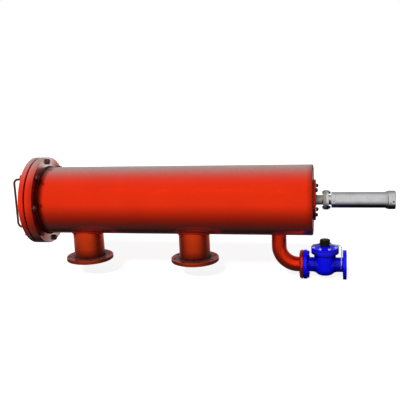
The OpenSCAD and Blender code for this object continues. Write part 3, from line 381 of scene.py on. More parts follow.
def bolt_surface(d, grip, tail):
    """A hex bolt along +Z: its head lies below 0, its thread runs past the grip and the nut."""
    rows = hex_rows(FLATS_SHARE * d, -HEAD_SHARE * d, -WASHER_T * d, True, False)
    rows += [flat_row(WASHER_R * d, -WASHER_T * d), flat_row(WASHER_R * d, 0.0)]
    rows += [flat_row(d / 2.0, 0.0)]
    return turned_surface(rows + threaded_end(d, grip, grip + tail), closed=False)


def cap_bolt_surface(d, length):
    """A hex bolt that stands in a threaded hole below 0, with its head above."""
    rows = plain_root(d, -length) + [flat_row(d / 2.0, 0.0)]
    rows += [flat_row(WASHER_R * d, 0.0), flat_row(WASHER_R * d, WASHER_T * d)]
    rows += hex_rows(FLATS_SHARE * d, WASHER_T * d, HEAD_SHARE * d, False, True)
    return turned_surface(rows, closed=False)


def stud_surface(d, low, high):
    """A plain stud along +Z whose upper end is threaded."""
    return turned_surface(plain_root(d, low) + threaded_end(d, 0.0, high), closed=False)


def nut_surface(d):
    """A hex nut along +Z from 0, its outer corners cut and its hole countersunk."""
    height = NUT_SHARE * d
    rows = [flat_row(HOLE_R * d, 0.0)]
    rows += hex_rows(FLATS_SHARE * d, 0.0, height, True, True)
    rows += [flat_row(COUNTERSINK_R * d, height)]
    rows += [flat_row(HOLE_R * d, height - COUNTERSINK_DEPTH * d)]
    return turned_surface(rows, closed=True)


def spring_surface(radius, wire, turns, low, high):
    """A round wire on a helix whose end coils lie nearly flat.

    At the share s of its length the wire's middle has turned by turns times s, and its height has
    gone from low to high by 3 s^2 - 2 s^3.
    """
    share = np.linspace(0.0, 1.0, SPRING_STEPS)[:, None]
    side = full_turn(SPRING_SIDES)[None, :]
    turn = 2.0 * np.pi * turns * share
    reach = radius + wire / 2.0 * np.cos(side)
    middle = low + wire / 2.0 + (high - low - wire) * (3.0 * share ** 2 - 2.0 * share ** 3)
    height = middle - wire / 2.0 * np.sin(side)
    points = np.stack([reach * np.cos(turn), reach * np.sin(turn), height], axis=-1)
    faces = grid_faces(SPRING_STEPS, SPRING_SIDES).tolist() + end_caps(SPRING_STEPS, SPRING_SIDES)
    return points.reshape(-1, 3), faces


def repeat_round(surface, ring, place):
    """Copies of a surface on a ring's bolt circle, each turned to its place, under a matrix."""
    points, faces = surface
    angle = np.radians(ring.turn) + np.arange(ring.count) * 2.0 * np.pi / ring.count
    c, s = np.cos(angle)[:, None], np.sin(angle)[:, None]
    x = points[:, 0] + ring.circle / 2.0
    y = points[:, 1]
    z = np.broadcast_to(points[:, 2], (ring.count, len(x)))
    copies = np.stack([c * x - s * y, s * x + c * y, z], axis=-1)
    moved = copies @ place[:3, :3].T + place[:3, 3]
    return join_parts([(copy, faces) for copy in moved])


def along_x(x, z):
    """The matrix that turns +Z to +X at a place on the middle plane."""
    return np.array([[0, 0, 1, x], [0, 1, 0, 0], [-1, 0, 0, z], [0, 0, 0, 1]], float)


def upright(x, z):
    """The matrix that leaves +Z up at a place on the middle plane."""
    return np.array([[1, 0, 0, x], [0, 1, 0, 0], [0, 0, 1, z], [0, 0, 0, 1]], float)


# Finishes

COLOUR = "NodeSocketColor"
VALUE = "NodeSocketFloat"
WHITE = (1.0, 1.0, 1.0, 1.0)
# A pale painted sheen, then painted shade for the corners, the valve and the turned metal's
# underside
PAINTED_SHEEN_COLOUR = (0.90, 0.80, 0.75, 1.0)
PAINTED_SHADE_COLOUR = (0.012, 0.002, 0.001, 1.0)
VALVE_PAINTED_SHADE_COLOUR = (0.001, 0.001, 0.060, 1.0)
UNDERSIDE_SHADE_COLOUR = (0.080, 0.080, 0.080, 1.0)

# Painted shade in the welded corners: each pair is the distance of full shade and that of none
FLANGE_PAINTED_SHADE = (0.02, 0.1)
FLANGE_SHADE_SQUEEZE = 1.8
NOZZLE_PAINTED_SHADE = (0.01, 0.07)

# Painted shade at the housing's end and on the valve, the painted sheen, and the painted shade
# of the underside from its first level to its full one
END_SHADE_LENGTH = 0.035
END_PAINTED_SHADE = 0.55
BARREL_SHADE_START = 0.65 * BARREL_R
NECK_SHADE_START = 0.3 * VALVE_NECK_R
NECK_SHADE_LEFT = 0.15
TUBE_SHEEN_POWER = 11.0
FLANGE_SHEEN_POWER = 6.0
UNDERSIDE_SHADE_LEVELS = (-0.30, -0.48)
NEAR_AXIS = 0.01

WIRE_WAVES = 1600.0
SHEEN_ROUGHNESS = 0.35


def feed(tree, node, inputs):
    """Set a node's inputs to values or link them to sockets."""
    for socket, value in inputs.items():
        if isinstance(value, bpy.types.NodeSocket):
            tree.links.new(value, node.inputs[socket])
        else:
            node.inputs[socket].default_value = value


def put(tree, kind, inputs=None, **settings):
    """A new node with its settings made and its inputs fed."""
    made = tree.nodes.new(kind)
    for name, value in settings.items():
        setattr(made, name, value)
    feed(tree, made, inputs or {})
    return made


def maths(tree, operation, first, second=0.0, clamp=False):
    """The outcome of one operation on two values or sockets."""
    return put(tree, "ShaderNodeMath", {0: first, 1: second}, operation=operation,
               use_clamp=clamp).outputs[0]


def times(tree, first, second):
    """The product of two values or sockets."""
    return maths(tree, "MULTIPLY", first, second)


def plus(tree, first, second, clamp=False):
    """The sum of two values or sockets."""
    return maths(tree, "ADD", first, second, clamp)


def minus(tree, first, second, clamp=False):
    """The first value or socket less the second."""
    return maths(tree, "SUBTRACT", first, second, clamp)


def most(tree, first, second):
    """The larger of two values or sockets."""
    return maths(tree, "MAXIMUM", first, second)


def noise(tree, vector, scale, detail=2.0, rough=0.5):
    """Cloudy noise from 0 to 1 at a place."""
    return put(tree, "ShaderNodeTexNoise", {"Vector": vector, "Scale": scale, "Detail": detail,
                                            "Roughness": rough}).outputs["Fac"]


def spread(tree, value, low, high, to_low=0.0, to_high=1.0):
    """A value's range from low to high stretched to another range and held inside it."""
    return put(tree, "ShaderNodeMapRange", {"Value": value, "From Min": low, "From Max": high,
                                            "To Min": to_low, "To Max": to_high}).outputs[0]


def mix_colour(tree, share, first, second):
    """The first colour with a share of the second."""
    return put(tree, "ShaderNodeMix", {0: share, 6: first, 7: second}, data_type="RGBA").outputs[2]


def stretched(tree, vector, scale):
    """A vector with its three parts scaled."""
    return put(tree, "ShaderNodeVectorMath", {0: vector, 1: scale},
               operation="MULTIPLY").outputs[0]


def new_group(name, **extras):
    """A shader group whose inputs are two colours, a gloss and the extra values.

    Its outputs are Colour, Roughness and Height. Gives the group, its inputs and the place.
    """
    tree = bpy.data.node_groups.new(name, "ShaderNodeTree")
    for label in ("Main", "Second"):
        tree.interface.new_socket(name=label, in_out="INPUT", socket_type=COLOUR)
    for label, default in {"Gloss": 0.3, **extras}.items():
        socket = tree.interface.new_socket(name=label, in_out="INPUT", socket_type=VALUE)
        socket.default_value = default
    for label, kind in (("Colour", COLOUR), ("Roughness", VALUE), ("Height", VALUE)):
        tree.interface.new_socket(name=label, in_out="OUTPUT", socket_type=kind)
    start = tree.nodes.new("NodeGroupInput").outputs
    place = tree.nodes.new("ShaderNodeTexCoord").outputs["Object"]
    return tree, start, place


def end_group(tree, colour, roughness, height):
    """The group with its three outputs fed."""
    put(tree, "NodeGroupOutput", {"Colour": colour, "Roughness": roughness, "Height": height})
    return tree


def split(tree, vector):
    """The X, Y and Z of a vector, by name."""
    return put(tree, "ShaderNodeSeparateXYZ", {0: vector}).outputs


def length_of(tree, first, second):
    """The root of the sum of two squares."""
    return maths(tree, "SQRT", plus(tree, times(tree, first, first), times(tree, second, second)))


def from_axis(tree, parts):
    """A place's distance from the housing's axis, and its height over it as a share of that."""
    level = minus(tree, parts["Z"], AXIS_Z)
    across = length_of(tree, parts["Y"], level)
    return across, maths(tree, "DIVIDE", level, most(tree, across, NEAR_AXIS))


def ring_distance(tree, across, along, radius):
    """How far a place is from a ring: across is its distance from the ring's axis."""
    return length_of(tree, minus(tree, across, radius), along)


def painted_corner_shade(tree, parts, across, painted_sheen):
    """Painted shade: one in the flanges' welded corners, falling to none away from them.

    The body flange has none where the painted sheen lies on it, and the housing's far end has a
    little.
    """
    along = minus(tree, parts["X"], FLANGE_BACK_X)
    along = times(tree, along, FLANGE_SHADE_SQUEEZE)
    near = ring_distance(tree, across, along, SHELL_R)
    painted_shade = spread(tree, near, *FLANGE_PAINTED_SHADE, 1.0, 0.0)
    unshaded = times(tree, painted_sheen, maths(tree, "LESS_THAN", parts["X"], FLANGE_EDGE_X))
    painted_shade = times(tree, painted_shade, minus(tree, 1.0, unshaded, clamp=True))
    end = spread(tree, parts["X"], SHELL_END_X - END_SHADE_LENGTH, SHELL_END_X, 0.0, END_PAINTED_SHADE)
    painted_shade = most(tree, painted_shade, end)
    for x in NOZZLES_X:
        across = length_of(tree, minus(tree, parts["X"], x), parts["Y"])
        near = ring_distance(tree, across, minus(tree, parts["Z"], NOZZLE_FLANGE_T), NOZZLE_R)
        painted_shade = most(tree, painted_shade, spread(tree, near, *NOZZLE_PAINTED_SHADE, 1.0, 0.0))
    return painted_shade


def painted_sheen_top(tree, parts, rise):
    """A painted sheen, pale as a reflection: a power of how far a place lies towards the
    housing's top, or towards the flange's bottom.

    The rise, a share of height, goes to one power on the tube and to a lower one on the flange,
    where the painted sheen lies wider. The faces of the two ends have none.
    """
    flange = maths(tree, "LESS_THAN", parts["X"], FLANGE_EDGE_X)
    fall = times(tree, times(tree, rise, -1.0), flange)
    share = most(tree, most(tree, rise, fall), 0.0)
    less = times(tree, flange, TUBE_SHEEN_POWER - FLANGE_SHEEN_POWER)
    power = minus(tree, TUBE_SHEEN_POWER, less)
    between = times(tree, maths(tree, "GREATER_THAN", parts["X"], COVER_X + FACE_SKIN),
                    maths(tree, "LESS_THAN", parts["X"], SHELL_END_X - FACE_SKIN))
    return times(tree, maths(tree, "POWER", share, power), between)


def paint_group():
    """Sprayed gloss paint: colour drift, specks and orange peel, with a painted sheen on top
    and painted shade in the corners.
    """
    tree, start, place = new_group("SprayedPaint", Grime=0.9, Dust=0.85)
    parts = split(tree, place)
    across, rise = from_axis(tree, parts)
    drift = spread(tree, noise(tree, place, scale=4.0, detail=4.0, rough=0.55), 0.38, 0.68)
    colour = mix_colour(tree, times(tree, drift, 0.45), start["Main"], start["Second"])
    patchy = spread(tree, noise(tree, place, scale=30.0, detail=4.0, rough=0.6), 0.2, 0.6, 0.8, 1.0)
    # Painted sheen: the tube's top and the flange's top and bottom are paled as a reflection would
    # pale them
    top = painted_sheen_top(tree, parts, rise)
    painted_sheen = times(tree, top, times(tree, patchy, start["Dust"]))
    colour = mix_colour(tree, painted_sheen, colour, PAINTED_SHEEN_COLOUR)
    # Painted shade: darker in the welded corners, at the nozzles' feet and at the housing's far end
    painted_shade = times(tree, painted_corner_shade(tree, parts, across, top),
                  times(tree, patchy, start["Grime"]))
    colour = mix_colour(tree, painted_shade, colour, PAINTED_SHADE_COLOUR)
    specks = spread(tree, noise(tree, place, scale=420.0, detail=1.0), 0.70, 0.78)
    film = spread(tree, noise(tree, place, scale=9.0, detail=3.0), 0.35, 0.70, -0.03, 0.05)
    rough = plus(tree, start["Gloss"], film)
    rough = plus(tree, rough, times(tree, specks, 0.18))
    rough = plus(tree, rough, times(tree, painted_shade, 0.2))
    peel = plus(tree, noise(tree, place, scale=230.0, detail=1.0),
                times(tree, noise(tree, place, scale=38.0, detail=1.0), 2.2))
    return end_group(tree, colour, rough, peel)


def turned_group():
    """Metal turned along X: tool lines round the axis, stains, and painted shade on the
    underside.
    """
    tree, start, place = new_group("TurnedMetal", Oil=0.0)
    lines = noise(tree, stretched(tree, place, (900.0, 5.0, 5.0)), scale=1.0, detail=3.0, rough=0.6)
    wide = noise(tree, stretched(tree, place, (120.0, 9.0, 9.0)), scale=1.0, detail=2.0)
    stain = spread(tree, noise(tree, place, scale=16.0, detail=4.0, rough=0.6), 0.46, 0.72)
    tone = plus(tree, times(tree, lines, 0.35), times(tree, stain, 0.55), clamp=True)
    colour = mix_colour(tree, tone, start["Main"], start["Second"])
    rise = from_axis(tree, split(tree, place))[1]
    # Painted shade: the underside darkens towards the bottom
    under = spread(tree, rise, *UNDERSIDE_SHADE_LEVELS)
    underside_shade = times(tree, under, start["Oil"])
    colour = mix_colour(tree, underside_shade, colour, UNDERSIDE_SHADE_COLOUR)
    rough = plus(tree, start["Gloss"], times(tree, wide, 0.16))
    return end_group(tree, colour, rough, lines)


def painted_casting_shade(tree, place):
    """Painted shade in the valve's corners: beside its barrel and on top of its necks."""
    parts = split(tree, place)
    side = maths(tree, "ABSOLUTE", minus(tree, parts["X"], VALVE_X))
    inner = spread(tree, side, BARREL_SHADE_START, BARREL_R)
    corner = spread(tree, side, BARREL_R, VALVE_NECK_END, 1.0, NECK_SHADE_LEFT)
    rise = minus(tree, parts["Z"], VALVE_Z)
    top = spread(tree, rise, NECK_SHADE_START, VALVE_NECK_R)
    painted_shade = times(tree, inner, most(tree, corner, top))
    neck = times(tree, maths(tree, "LESS_THAN", side, VALVE_NECK_END - FACE_SKIN),
                 maths(tree, "LESS_THAN", parts["Z"], BONNET_Z))
    return times(tree, painted_shade, neck)


def cast_group():
    """Painted casting: lumps of the sand mould, pits, colour drift and painted shade in the
    corners.
    """
    tree, start, place = new_group("PaintedCasting", Grime=0.75)
    lumps = noise(tree, place, scale=130.0, detail=3.0, rough=0.6)
    drift = spread(tree, noise(tree, place, scale=22.0, detail=3.0), 0.40, 0.68)
    pits = spread(tree, noise(tree, place, scale=310.0, detail=1.0), 0.66, 0.74)
    share = plus(tree, times(tree, drift, 0.4), times(tree, pits, 0.4), clamp=True)
    colour = mix_colour(tree, share, start["Main"], start["Second"])
    # Painted shade: the blue darkens beside the barrel and on top of the necks
    painted_shade = times(tree, painted_casting_shade(tree, place), start["Grime"])
    colour = mix_colour(tree, painted_shade, colour, VALVE_PAINTED_SHADE_COLOUR)
    rough = plus(tree, start["Gloss"], times(tree, lumps, 0.14))
    height = minus(tree, lumps, times(tree, pits, 0.5))
    return end_group(tree, colour, rough, height)


def worn_group():
    """Dull steel of fasteners: blotches of scale and a fine grain."""
    tree, start, place = new_group("DullSteel")
    blotch = spread(tree, noise(tree, place, scale=95.0, detail=4.0, rough=0.65), 0.40, 0.66)
    grain = noise(tree, place, scale=900.0, detail=2.0)
    colour = mix_colour(tree, blotch, start["Main"], start["Second"])
    rough = plus(tree, start["Gloss"], times(tree, blotch, 0.2))
    return end_group(tree, colour, rough, plus(tree, grain, blotch))


def weave_group():
    """Woven wire round the X axis: crossed sine waves of the length and of the arc's length."""
    tree, start, place = new_group("WovenWire")
    parts = split(tree, place)
    level = minus(tree, parts["Z"], AXIS_Z)
    arc = times(tree, maths(tree, "ARCTAN2", parts["Y"], level), SCREEN_R)
    along = maths(tree, "SINE", times(tree, parts["X"], WIRE_WAVES))
    around = maths(tree, "SINE", times(tree, arc, WIRE_WAVES))
    height = most(tree, maths(tree, "ABSOLUTE", along), maths(tree, "ABSOLUTE", around))
    colour = mix_colour(tree, spread(tree, height, 0.25, 0.75), start["Second"], start["Main"])
    rough = plus(tree, start["Gloss"], times(tree, height, -0.1))
    return end_group(tree, colour, rough, height)


def grain_group():
    """Moulded rubber or plastic: a fine pebble grain with scuffed, paler patches."""
    tree, start, place = new_group("MouldedGrain")
    pebble = noise(tree, place, scale=1300.0, detail=2.0)
    scuff = spread(tree, noise(tree, place, scale=60.0, detail=5.0, rough=0.65), 0.52, 0.74)
    colour = mix_colour(tree, scuff, start["Main"], start["Second"])
    rough = plus(tree, start["Gloss"], times(tree, scuff, 0.12))
    return end_group(tree, colour, rough, pebble)


GROUP_MAKERS = {
    "SprayedPaint": paint_group, "TurnedMetal": turned_group, "PaintedCasting": cast_group,
    "DullSteel": worn_group, "WovenWire": weave_group, "MouldedGrain": grain_group,
}


def shade(colour, share):
    """A colour brought to a share of its strength."""
    return tuple(part * share for part in colour)


def finish_material(name, group_name, tone, second, gloss, bump, metallic=0.0, specular=0.5,
                    sheen=0.0, **extras):
    """A material whose colour, roughness and bump come from one of the shared groups.

    Second is the share of the tone that makes the group's second colour, and bump is the depth in
    metres of a full step in the group's height.
    """
    old = bpy.data.materials.get(name)
    if old:
        return old
    group = bpy.data.node_groups.get(group_name) or GROUP_MAKERS[group_name]()
    material = bpy.data.materials.new(name)
    material.use_nodes = True
    tree = material.node_tree
    shader = next(n for n in tree.nodes if n.type == "BSDF_PRINCIPLED")
    values = {"Main": (*tone, 1.0), "Second": (*shade(tone, second), 1.0), "Gloss": gloss}
    effect = put(tree, "ShaderNodeGroup", {**values, **extras}, node_tree=group)
    relief = put(tree, "ShaderNodeBump", {"Height": effect.outputs["Height"], "Distance": bump,
                                          "Strength": 1.0})
    feed(tree, shader, {
        "Base Color": effect.outputs["Colour"], "Roughness": effect.outputs["Roughness"],
        "Normal": relief.outputs["Normal"], "Metallic": metallic, "Specular IOR Level": specular,
        "Sheen Weight": sheen, "Sheen Roughness": SHEEN_ROUGHNESS})
    return material


def red_paint(name, tone):
    """Gloss paint with metal flake, which mirrors softly."""
    return finish_material(name, "SprayedPaint", tone, 0.88, gloss=0.22, bump=0.00005,
                           metallic=0.82, specular=0.15, sheen=0.3)


def blue_paint(tone):
    """The valve's paint, which the drain's nuts share."""
    return finish_material("BluePaint", "PaintedCasting", tone, 0.7, gloss=0.26, bump=0.0003,
                           metallic=0.15, specular=0.3)


def turned_metal(name, tone, second, gloss, bump=0.00003, metallic=1.0, underside_shade=0.0):
    """Bare metal with tool lines."""
    return finish_material(name, "TurnedMetal", tone, second, gloss, bump, metallic, Oil=underside_shade)


def dull_steel(tone):
    """Blackened steel of the fasteners of the cylinder, its piston and the end cover."""
    return finish_material("DullSteel", "DullSteel", tone, 0.45, gloss=0.32, bump=0.00005,
                           metallic=0.3)


def dress(names, material):
    """Put a material on the named nodes of the frame."""
    for name in names:
        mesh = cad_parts[name].data
        mesh.materials.clear()
        mesh.materials.append(material)


# Settings


def colour_setting(name, description, default):
    return bpy.props.FloatVectorProperty(name=name, description=description, default=default,
                                         subtype="COLOR", size=3, min=0.0, max=1.0)


class FilterFinishes(bpy.types.PropertyGroup):
    """Colours of the filter's finishes."""

    red: colour_setting("Red paint", "Paint of the housing and its elbow", (0.80, 0.028, 0.004))
    # Painted shade: the nozzles' paint is the red made darker and browner for the shade under the
    # housing
    nozzle: colour_setting("Nozzle paint", "Browner coat of the two nozzles", (0.72, 0.050, 0.007))
    handle: colour_setting("Handle paint", "Dark paint of the handles, cover bolts and drain bolts",
                           (0.085, 0.018, 0.012))
    blue: colour_setting("Blue paint", "Paint of the flush valve", (0.003, 0.003, 0.98))
    grey: colour_setting("Grey steel", "Turned steel of the drive cylinder", (0.62, 0.62, 0.63))
    neck: colour_setting("Neck steel", "Bare steel of the cylinder's neck", (0.40, 0.37, 0.32))
    stainless: colour_setting("Stainless", "Steel of the screens and the scanner",
                              (0.58, 0.58, 0.57))
    fastener: colour_setting("Fastener steel", "Dull steel of the other bolts and nuts",
                             (0.030, 0.027, 0.028))
    bonnet_bolt: colour_setting("Bonnet bolt steel", "Plated steel of the bonnet's bolts",
                                (0.62, 0.60, 0.78))
    bronze: colour_setting("Bronze", "Bushes and the valve's seat", (0.50, 0.31, 0.12))
    brass: colour_setting("Brass", "Plated brass of the control tube's fittings",
                          (0.48, 0.46, 0.44))
    rubber: colour_setting("Rubber", "Gaskets, seals and the diaphragm", (0.018, 0.018, 0.018))
    cap: colour_setting("Cap plastic", "Moulded pilot cap", (0.006, 0.006, 0.001))
    tube: colour_setting("Tube plastic", "Control tube", (0.55, 0.57, 0.60))


class FilterWelds(bpy.types.PropertyGroup):
    """Sizes of the weld beads."""

    body: bpy.props.FloatProperty(name="Body flange bead", description="Leg of the flange's weld",
                                  default=0.009, unit="LENGTH", min=0.004, max=0.014)
    nozzle: bpy.props.FloatProperty(name="Nozzle bead", description="Leg of the nozzles' welds",
                                    default=0.008, unit="LENGTH", min=0.004, max=0.012)
    small: bpy.props.FloatProperty(name="Small bead", description="Leg of the other welds",
                                   default=0.005, unit="LENGTH", min=0.003, max=0.008)


class FilterStage(bpy.types.PropertyGroup):
    """Light and camera of the stage."""

    key: bpy.props.FloatProperty(name="Key light", description="Strength of the sun lamp",
                                 default=3.1, min=0.0, max=10.0)
    key_rise: bpy.props.FloatProperty(name="Key height", description="Height of the key light",
                                      default=math.radians(40.0), subtype="ANGLE")
    key_side: bpy.props.FloatProperty(name="Key side",
                                      description="Turn of the key light to the left of the front",
                                      default=math.radians(14.0), subtype="ANGLE")
    fill: bpy.props.FloatProperty(name="Fill light", description="Strength of the world's fill",
                                  default=0.13, min=0.0, max=2.0)
    lens: bpy.props.FloatProperty(name="Lens", description="Focal length in millimetres",
                                  default=57.75, min=20.0, max=200.0)


# Pieces

# Shares of the small bead
END_WELD = 0.9
NECK_FLANGE_WELD = 0.8
HANDLE_WELD = 0.7


class FilterOperator:
    """What all the operators share."""

    bl_options = {"REGISTER"}

    @property
    def tones(self):
        return bpy.context.scene.filter_finishes


class FILTER_OT_paint_housing(FilterOperator, bpy.types.Operator):
    """Paint the housing, its flanges, pipes and handles"""

    bl_idname = "filter_looks.paint_housing"
    bl_label = "Paint Housing"

    def execute(self, context):
        tones = self.tones
        dress(RED_NODES, red_paint("RedPaint", tones.red))
        # The nozzles get a shaded copy of the red paint
        dress(NOZZLE_NODES, red_paint("NozzleShadedPaint", tones.nozzle))
        dress(HANDLE_NODES, finish_material(
            "HandlePaint", "SprayedPaint", tones.handle, 0.5, gloss=0.28, bump=0.0001, Grime=0.0,
            Dust=0.0))
        return {"FINISHED"}


class FILTER_OT_paint_valve(FilterOperator, bpy.types.Operator):
    """Paint the flush valve's castings"""

    bl_idname = "filter_looks.paint_valve"
    bl_label = "Paint Valve"

    def execute(self, context):
        dress(VALVE_NODES, blue_paint(self.tones.blue))
        return {"FINISHED"}


class FILTER_OT_finish_metal(FilterOperator, bpy.types.Operator):
    """Finish the bare metal of the cylinder, the screens, the scanner and the bushes"""

    bl_idname = "filter_looks.finish_metal"
    bl_label = "Finish Metal"

    def execute(self, context):
        tones = self.tones
        # The grey steel's underside carries painted shade
        dress(GREY_NODES, turned_metal("GreySteel", tones.grey, 0.72, gloss=0.16, underside_shade=0.85))
        dress(("cylinder_neck",), turned_metal("NeckSteel", tones.neck, 0.6, gloss=0.34,
                                               bump=0.00004, metallic=0.7))
        dress(STAINLESS_NODES, turned_metal("Stainless", tones.stainless, 0.7, gloss=0.26))
        dress(BRONZE_NODES, turned_metal("Bronze", tones.bronze, 0.6, gloss=0.28))
        dress(("screen_mesh",), finish_material(
            "ScreenWire", "WovenWire", tones.stainless, 0.08, gloss=0.4, bump=0.0008,
            metallic=1.0))
        dress(("piston_nut",), dull_steel(tones.fastener))
        return {"FINISHED"}


class FILTER_OT_finish_soft(FilterOperator, bpy.types.Operator):
    """Finish the gaskets, seals, cap, control tube and its fittings"""

    bl_idname = "filter_looks.finish_soft"
    bl_label = "Finish Soft Pieces"

    def execute(self, context):
        tones = self.tones
        dress(RUBBER_NODES, finish_material(
            "Rubber", "MouldedGrain", tones.rubber, 2.2, gloss=0.6, bump=0.00006))
        dress(("pilot_cap",), finish_material(
            "CapPlastic", "MouldedGrain", tones.cap, 2.0, gloss=0.34, bump=0.00004, specular=0.1))
        dress(("control_tube",), finish_material(
            "TubePlastic", "MouldedGrain", tones.tube, 0.8, gloss=0.3, bump=0.00002))
        dress(("control_fittings",), turned_metal("Brass", tones.brass, 0.6, gloss=0.24))
        return {"FINISHED"}


class FILTER_OT_weld_beads(FilterOperator, bpy.types.Operator):
    """Lay the weld beads of the flanges, nozzles, drain, neck and handles"""

    bl_idname = "filter_looks.weld_beads"
    bl_label = "Lay Weld Beads"

    def execute(self, context):
        sizes = context.scene.filter_welds
        red = bpy.data.materials["RedPaint"]
        brown = bpy.data.materials["NozzleShadedPaint"]
        axis = np.array([1.0, 0.0, 0.0])
        up = np.array([0.0, 0.0, 1.0])
        make_piece("body_flange_weld", *ring_bead(
            (FLANGE_BACK_X, 0.0, AXIS_Z), SHELL_R, axis, sizes.body), red, "red_paint")
        make_piece("end_head_weld", *ring_bead(
            (SHELL_END_X, 0.0, AXIS_Z), END_HEAD_R, axis, END_WELD * sizes.small, span=FACE_SPAN),
            red, "red_paint")
        for label, x in zip(("inlet", "outlet"), NOZZLES_X):
            make_piece(label + "_saddle_weld", *saddle_bead(x, NOZZLE_R, sizes.nozzle), red,
                       "red_paint")
            make_piece(label + "_flange_weld", *ring_bead(
                (x, 0.0, NOZZLE_FLANGE_T), NOZZLE_R, up, sizes.small), brown, "red_paint")
        make_piece("drain_saddle_weld", *saddle_bead(DRAIN_X, DRAIN_R, sizes.small), red,
                   "red_paint")
        make_piece("drain_flange_weld", *ring_bead(
            (DRAIN_FLANGE_X, 0.0, VALVE_Z), DRAIN_R, -axis, sizes.small), red, "red_paint")
        neck = bpy.data.materials["NeckSteel"]
        make_piece("neck_welds", *join_parts([
            ring_bead((END_COVER_FACE_X, 0.0, AXIS_Z), NECK_R, axis, sizes.small),
            ring_bead((NECK_FLANGE_X, 0.0, AXIS_Z), NECK_R, -axis,
                      NECK_FLANGE_WELD * sizes.small)]), neck, "grey_steel")
        handle = bpy.data.materials["HandlePaint"]
        for label, side in (("front", -1.0), ("rear", 1.0)):
            make_piece(label + "_handle_welds", *join_parts([
                ring_bead((COVER_X, side * HANDLE_Y, z), HANDLE_R, -axis,
                          HANDLE_WELD * sizes.small)
                for z in (HANDLE_TOP, 2.0 * AXIS_Z - HANDLE_TOP)]), handle, "handle_paint")
        return {"FINISHED"}


class FILTER_OT_fasteners(FilterOperator, bpy.types.Operator):
    """Make the bolts, studs and nuts with cut corners and threads"""

    bl_idname = "filter_looks.fasteners"
    bl_label = "Make Fasteners"

    def execute(self, context):
        dark = dull_steel(self.tones.fastener)
        bright = finish_material("PlatedSteel", "DullSteel", self.tones.bonnet_bolt, 0.8, gloss=0.3,
                                 bump=0.00002, metallic=0.2)
        brown = bpy.data.materials["HandlePaint"]
        blue = blue_paint(self.tones.blue)
        dress(("cover_bolts", "cover_nuts", "drain_bolts"), brown)
        dress(("drain_nuts",), blue)
        dress(("mount_bolts", "end_studs"), dark)
        dress(("bonnet_bolts",), bright)
        self.bolts("cover", COVER_RING, COVER_X, AXIS_Z, brown, "handle_paint")
        self.nuts("cover", COVER_RING, AXIS_Z, brown, "handle_paint")
        self.bolts("drain", DRAIN_RING, DRAIN_FLANGE_X, VALVE_Z, brown, "handle_paint")
        self.nuts("drain", DRAIN_RING, VALVE_Z, blue, "blue_paint")
        self.mount_bolts(dark)
        self.end_studs(dark)
        self.bonnet_bolts(bright)
        return {"FINISHED"}

    def bolts(self, label, ring, x, z, material, slot):
        """A ring of bolts whose heads lie at x and whose nuts lie where the frame has them."""
        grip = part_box(label + "_nuts")[0].x - x
        piece = make_piece(label + "_bolt_set", *repeat_round(
            bolt_surface(ring.d, grip, ring.d), ring, along_x(x, z)), material, slot)
        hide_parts(label + "_bolts")

    def nuts(self, label, ring, z, material, slot):
        """A ring of nuts where the frame has them."""
        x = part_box(label + "_nuts")[0].x
        piece = make_piece(label + "_nut_set", *repeat_round(
            nut_surface(ring.d), ring, along_x(x, z)), material, slot)
        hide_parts(label + "_nuts")

    def mount_bolts(self, material):
        """The bolts through the flanges of the cylinder's neck and front head, with their nuts."""
        grip = 2.0 * NECK_FLANGE_T
        bolts = repeat_round(bolt_surface(MOUNT_RING.d, grip, MOUNT_RING.d), MOUNT_RING,
                             along_x(NECK_FLANGE_X, AXIS_Z))
        nuts = repeat_round(nut_surface(MOUNT_RING.d), MOUNT_RING,
                            along_x(NECK_FLANGE_X + grip, AXIS_Z))
        piece = make_piece("mount_fasteners", *join_parts([bolts, nuts]), material, "dark_steel")
        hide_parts("mount_bolts")

    def end_studs(self, material):
        """The end cover's studs and nuts."""
        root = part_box("end_studs")[0].x - END_COVER_FACE_X
        face = along_x(END_COVER_FACE_X, AXIS_Z)
        studs = repeat_round(stud_surface(END_RING.d, root, END_RING.d), END_RING, face)
        nuts = repeat_round(nut_surface(END_RING.d), END_RING, face)
        piece = make_piece("end_fasteners", *join_parts([studs, nuts]), material, "dark_steel")
        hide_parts("end_studs")

    def bonnet_bolts(self, material):
        """The bolts that hold the bonnet down on the valve's body."""
        low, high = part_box("bonnet_bolts")
        seat = high.z - HEAD_SHARE * BONNET_RING.d
        piece = make_piece("bonnet_fasteners", *repeat_round(
            cap_bolt_surface(BONNET_RING.d, seat - low.z), BONNET_RING, upright(VALVE_X, seat)),
            material, "grey_steel")
        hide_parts("bonnet_bolts")


class FILTER_OT_valve_spring(FilterOperator, bpy.types.Operator):
    """Wind the flush valve's closing spring"""

    bl_idname = "filter_looks.valve_spring"
    bl_label = "Wind Valve Spring"

    def execute(self, context):
        low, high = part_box("valve_spring")
        radius = (high.y - low.y - SPRING_WIRE) / 2.0
        points, faces = spring_surface(radius, SPRING_WIRE, SPRING_TURNS, low.z, high.z)
        points[:, 0] += VALVE_X
        piece = make_piece("valve_spring_coil", points, faces, bpy.data.materials["Stainless"],
                           "stainless")
        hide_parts("valve_spring")
        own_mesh(piece)
        return {"FINISHED"}


# Stage

FLOOR_GAP = 0.001
FLOOR_Z = CAD_BOX[0][2] - FLOOR_GAP
FLOOR_HALF = 30.0
FLOOR_PALE = (0.55, 0.55, 0.55, 1.0)
FLOOR_GLOW = 0.87
# Painted shade: the floor's colour to bounced light, and where and how soon its darkening in
# reflections fades
FLOOR_DULL = (0.06, 0.06, 0.06, 1.0)
FLOOR_DARK_X = (-0.4, 2.1)
FLOOR_FADE = 0.9

# The mirrored world: where on a direction's Y or X it starts and ends to dim, and its two levels
WORLD_BACK = (-0.25, 0.75, 1.0, 0.38)
WORLD_RIGHT = (0.05, 0.75, 1.0, 0.45)

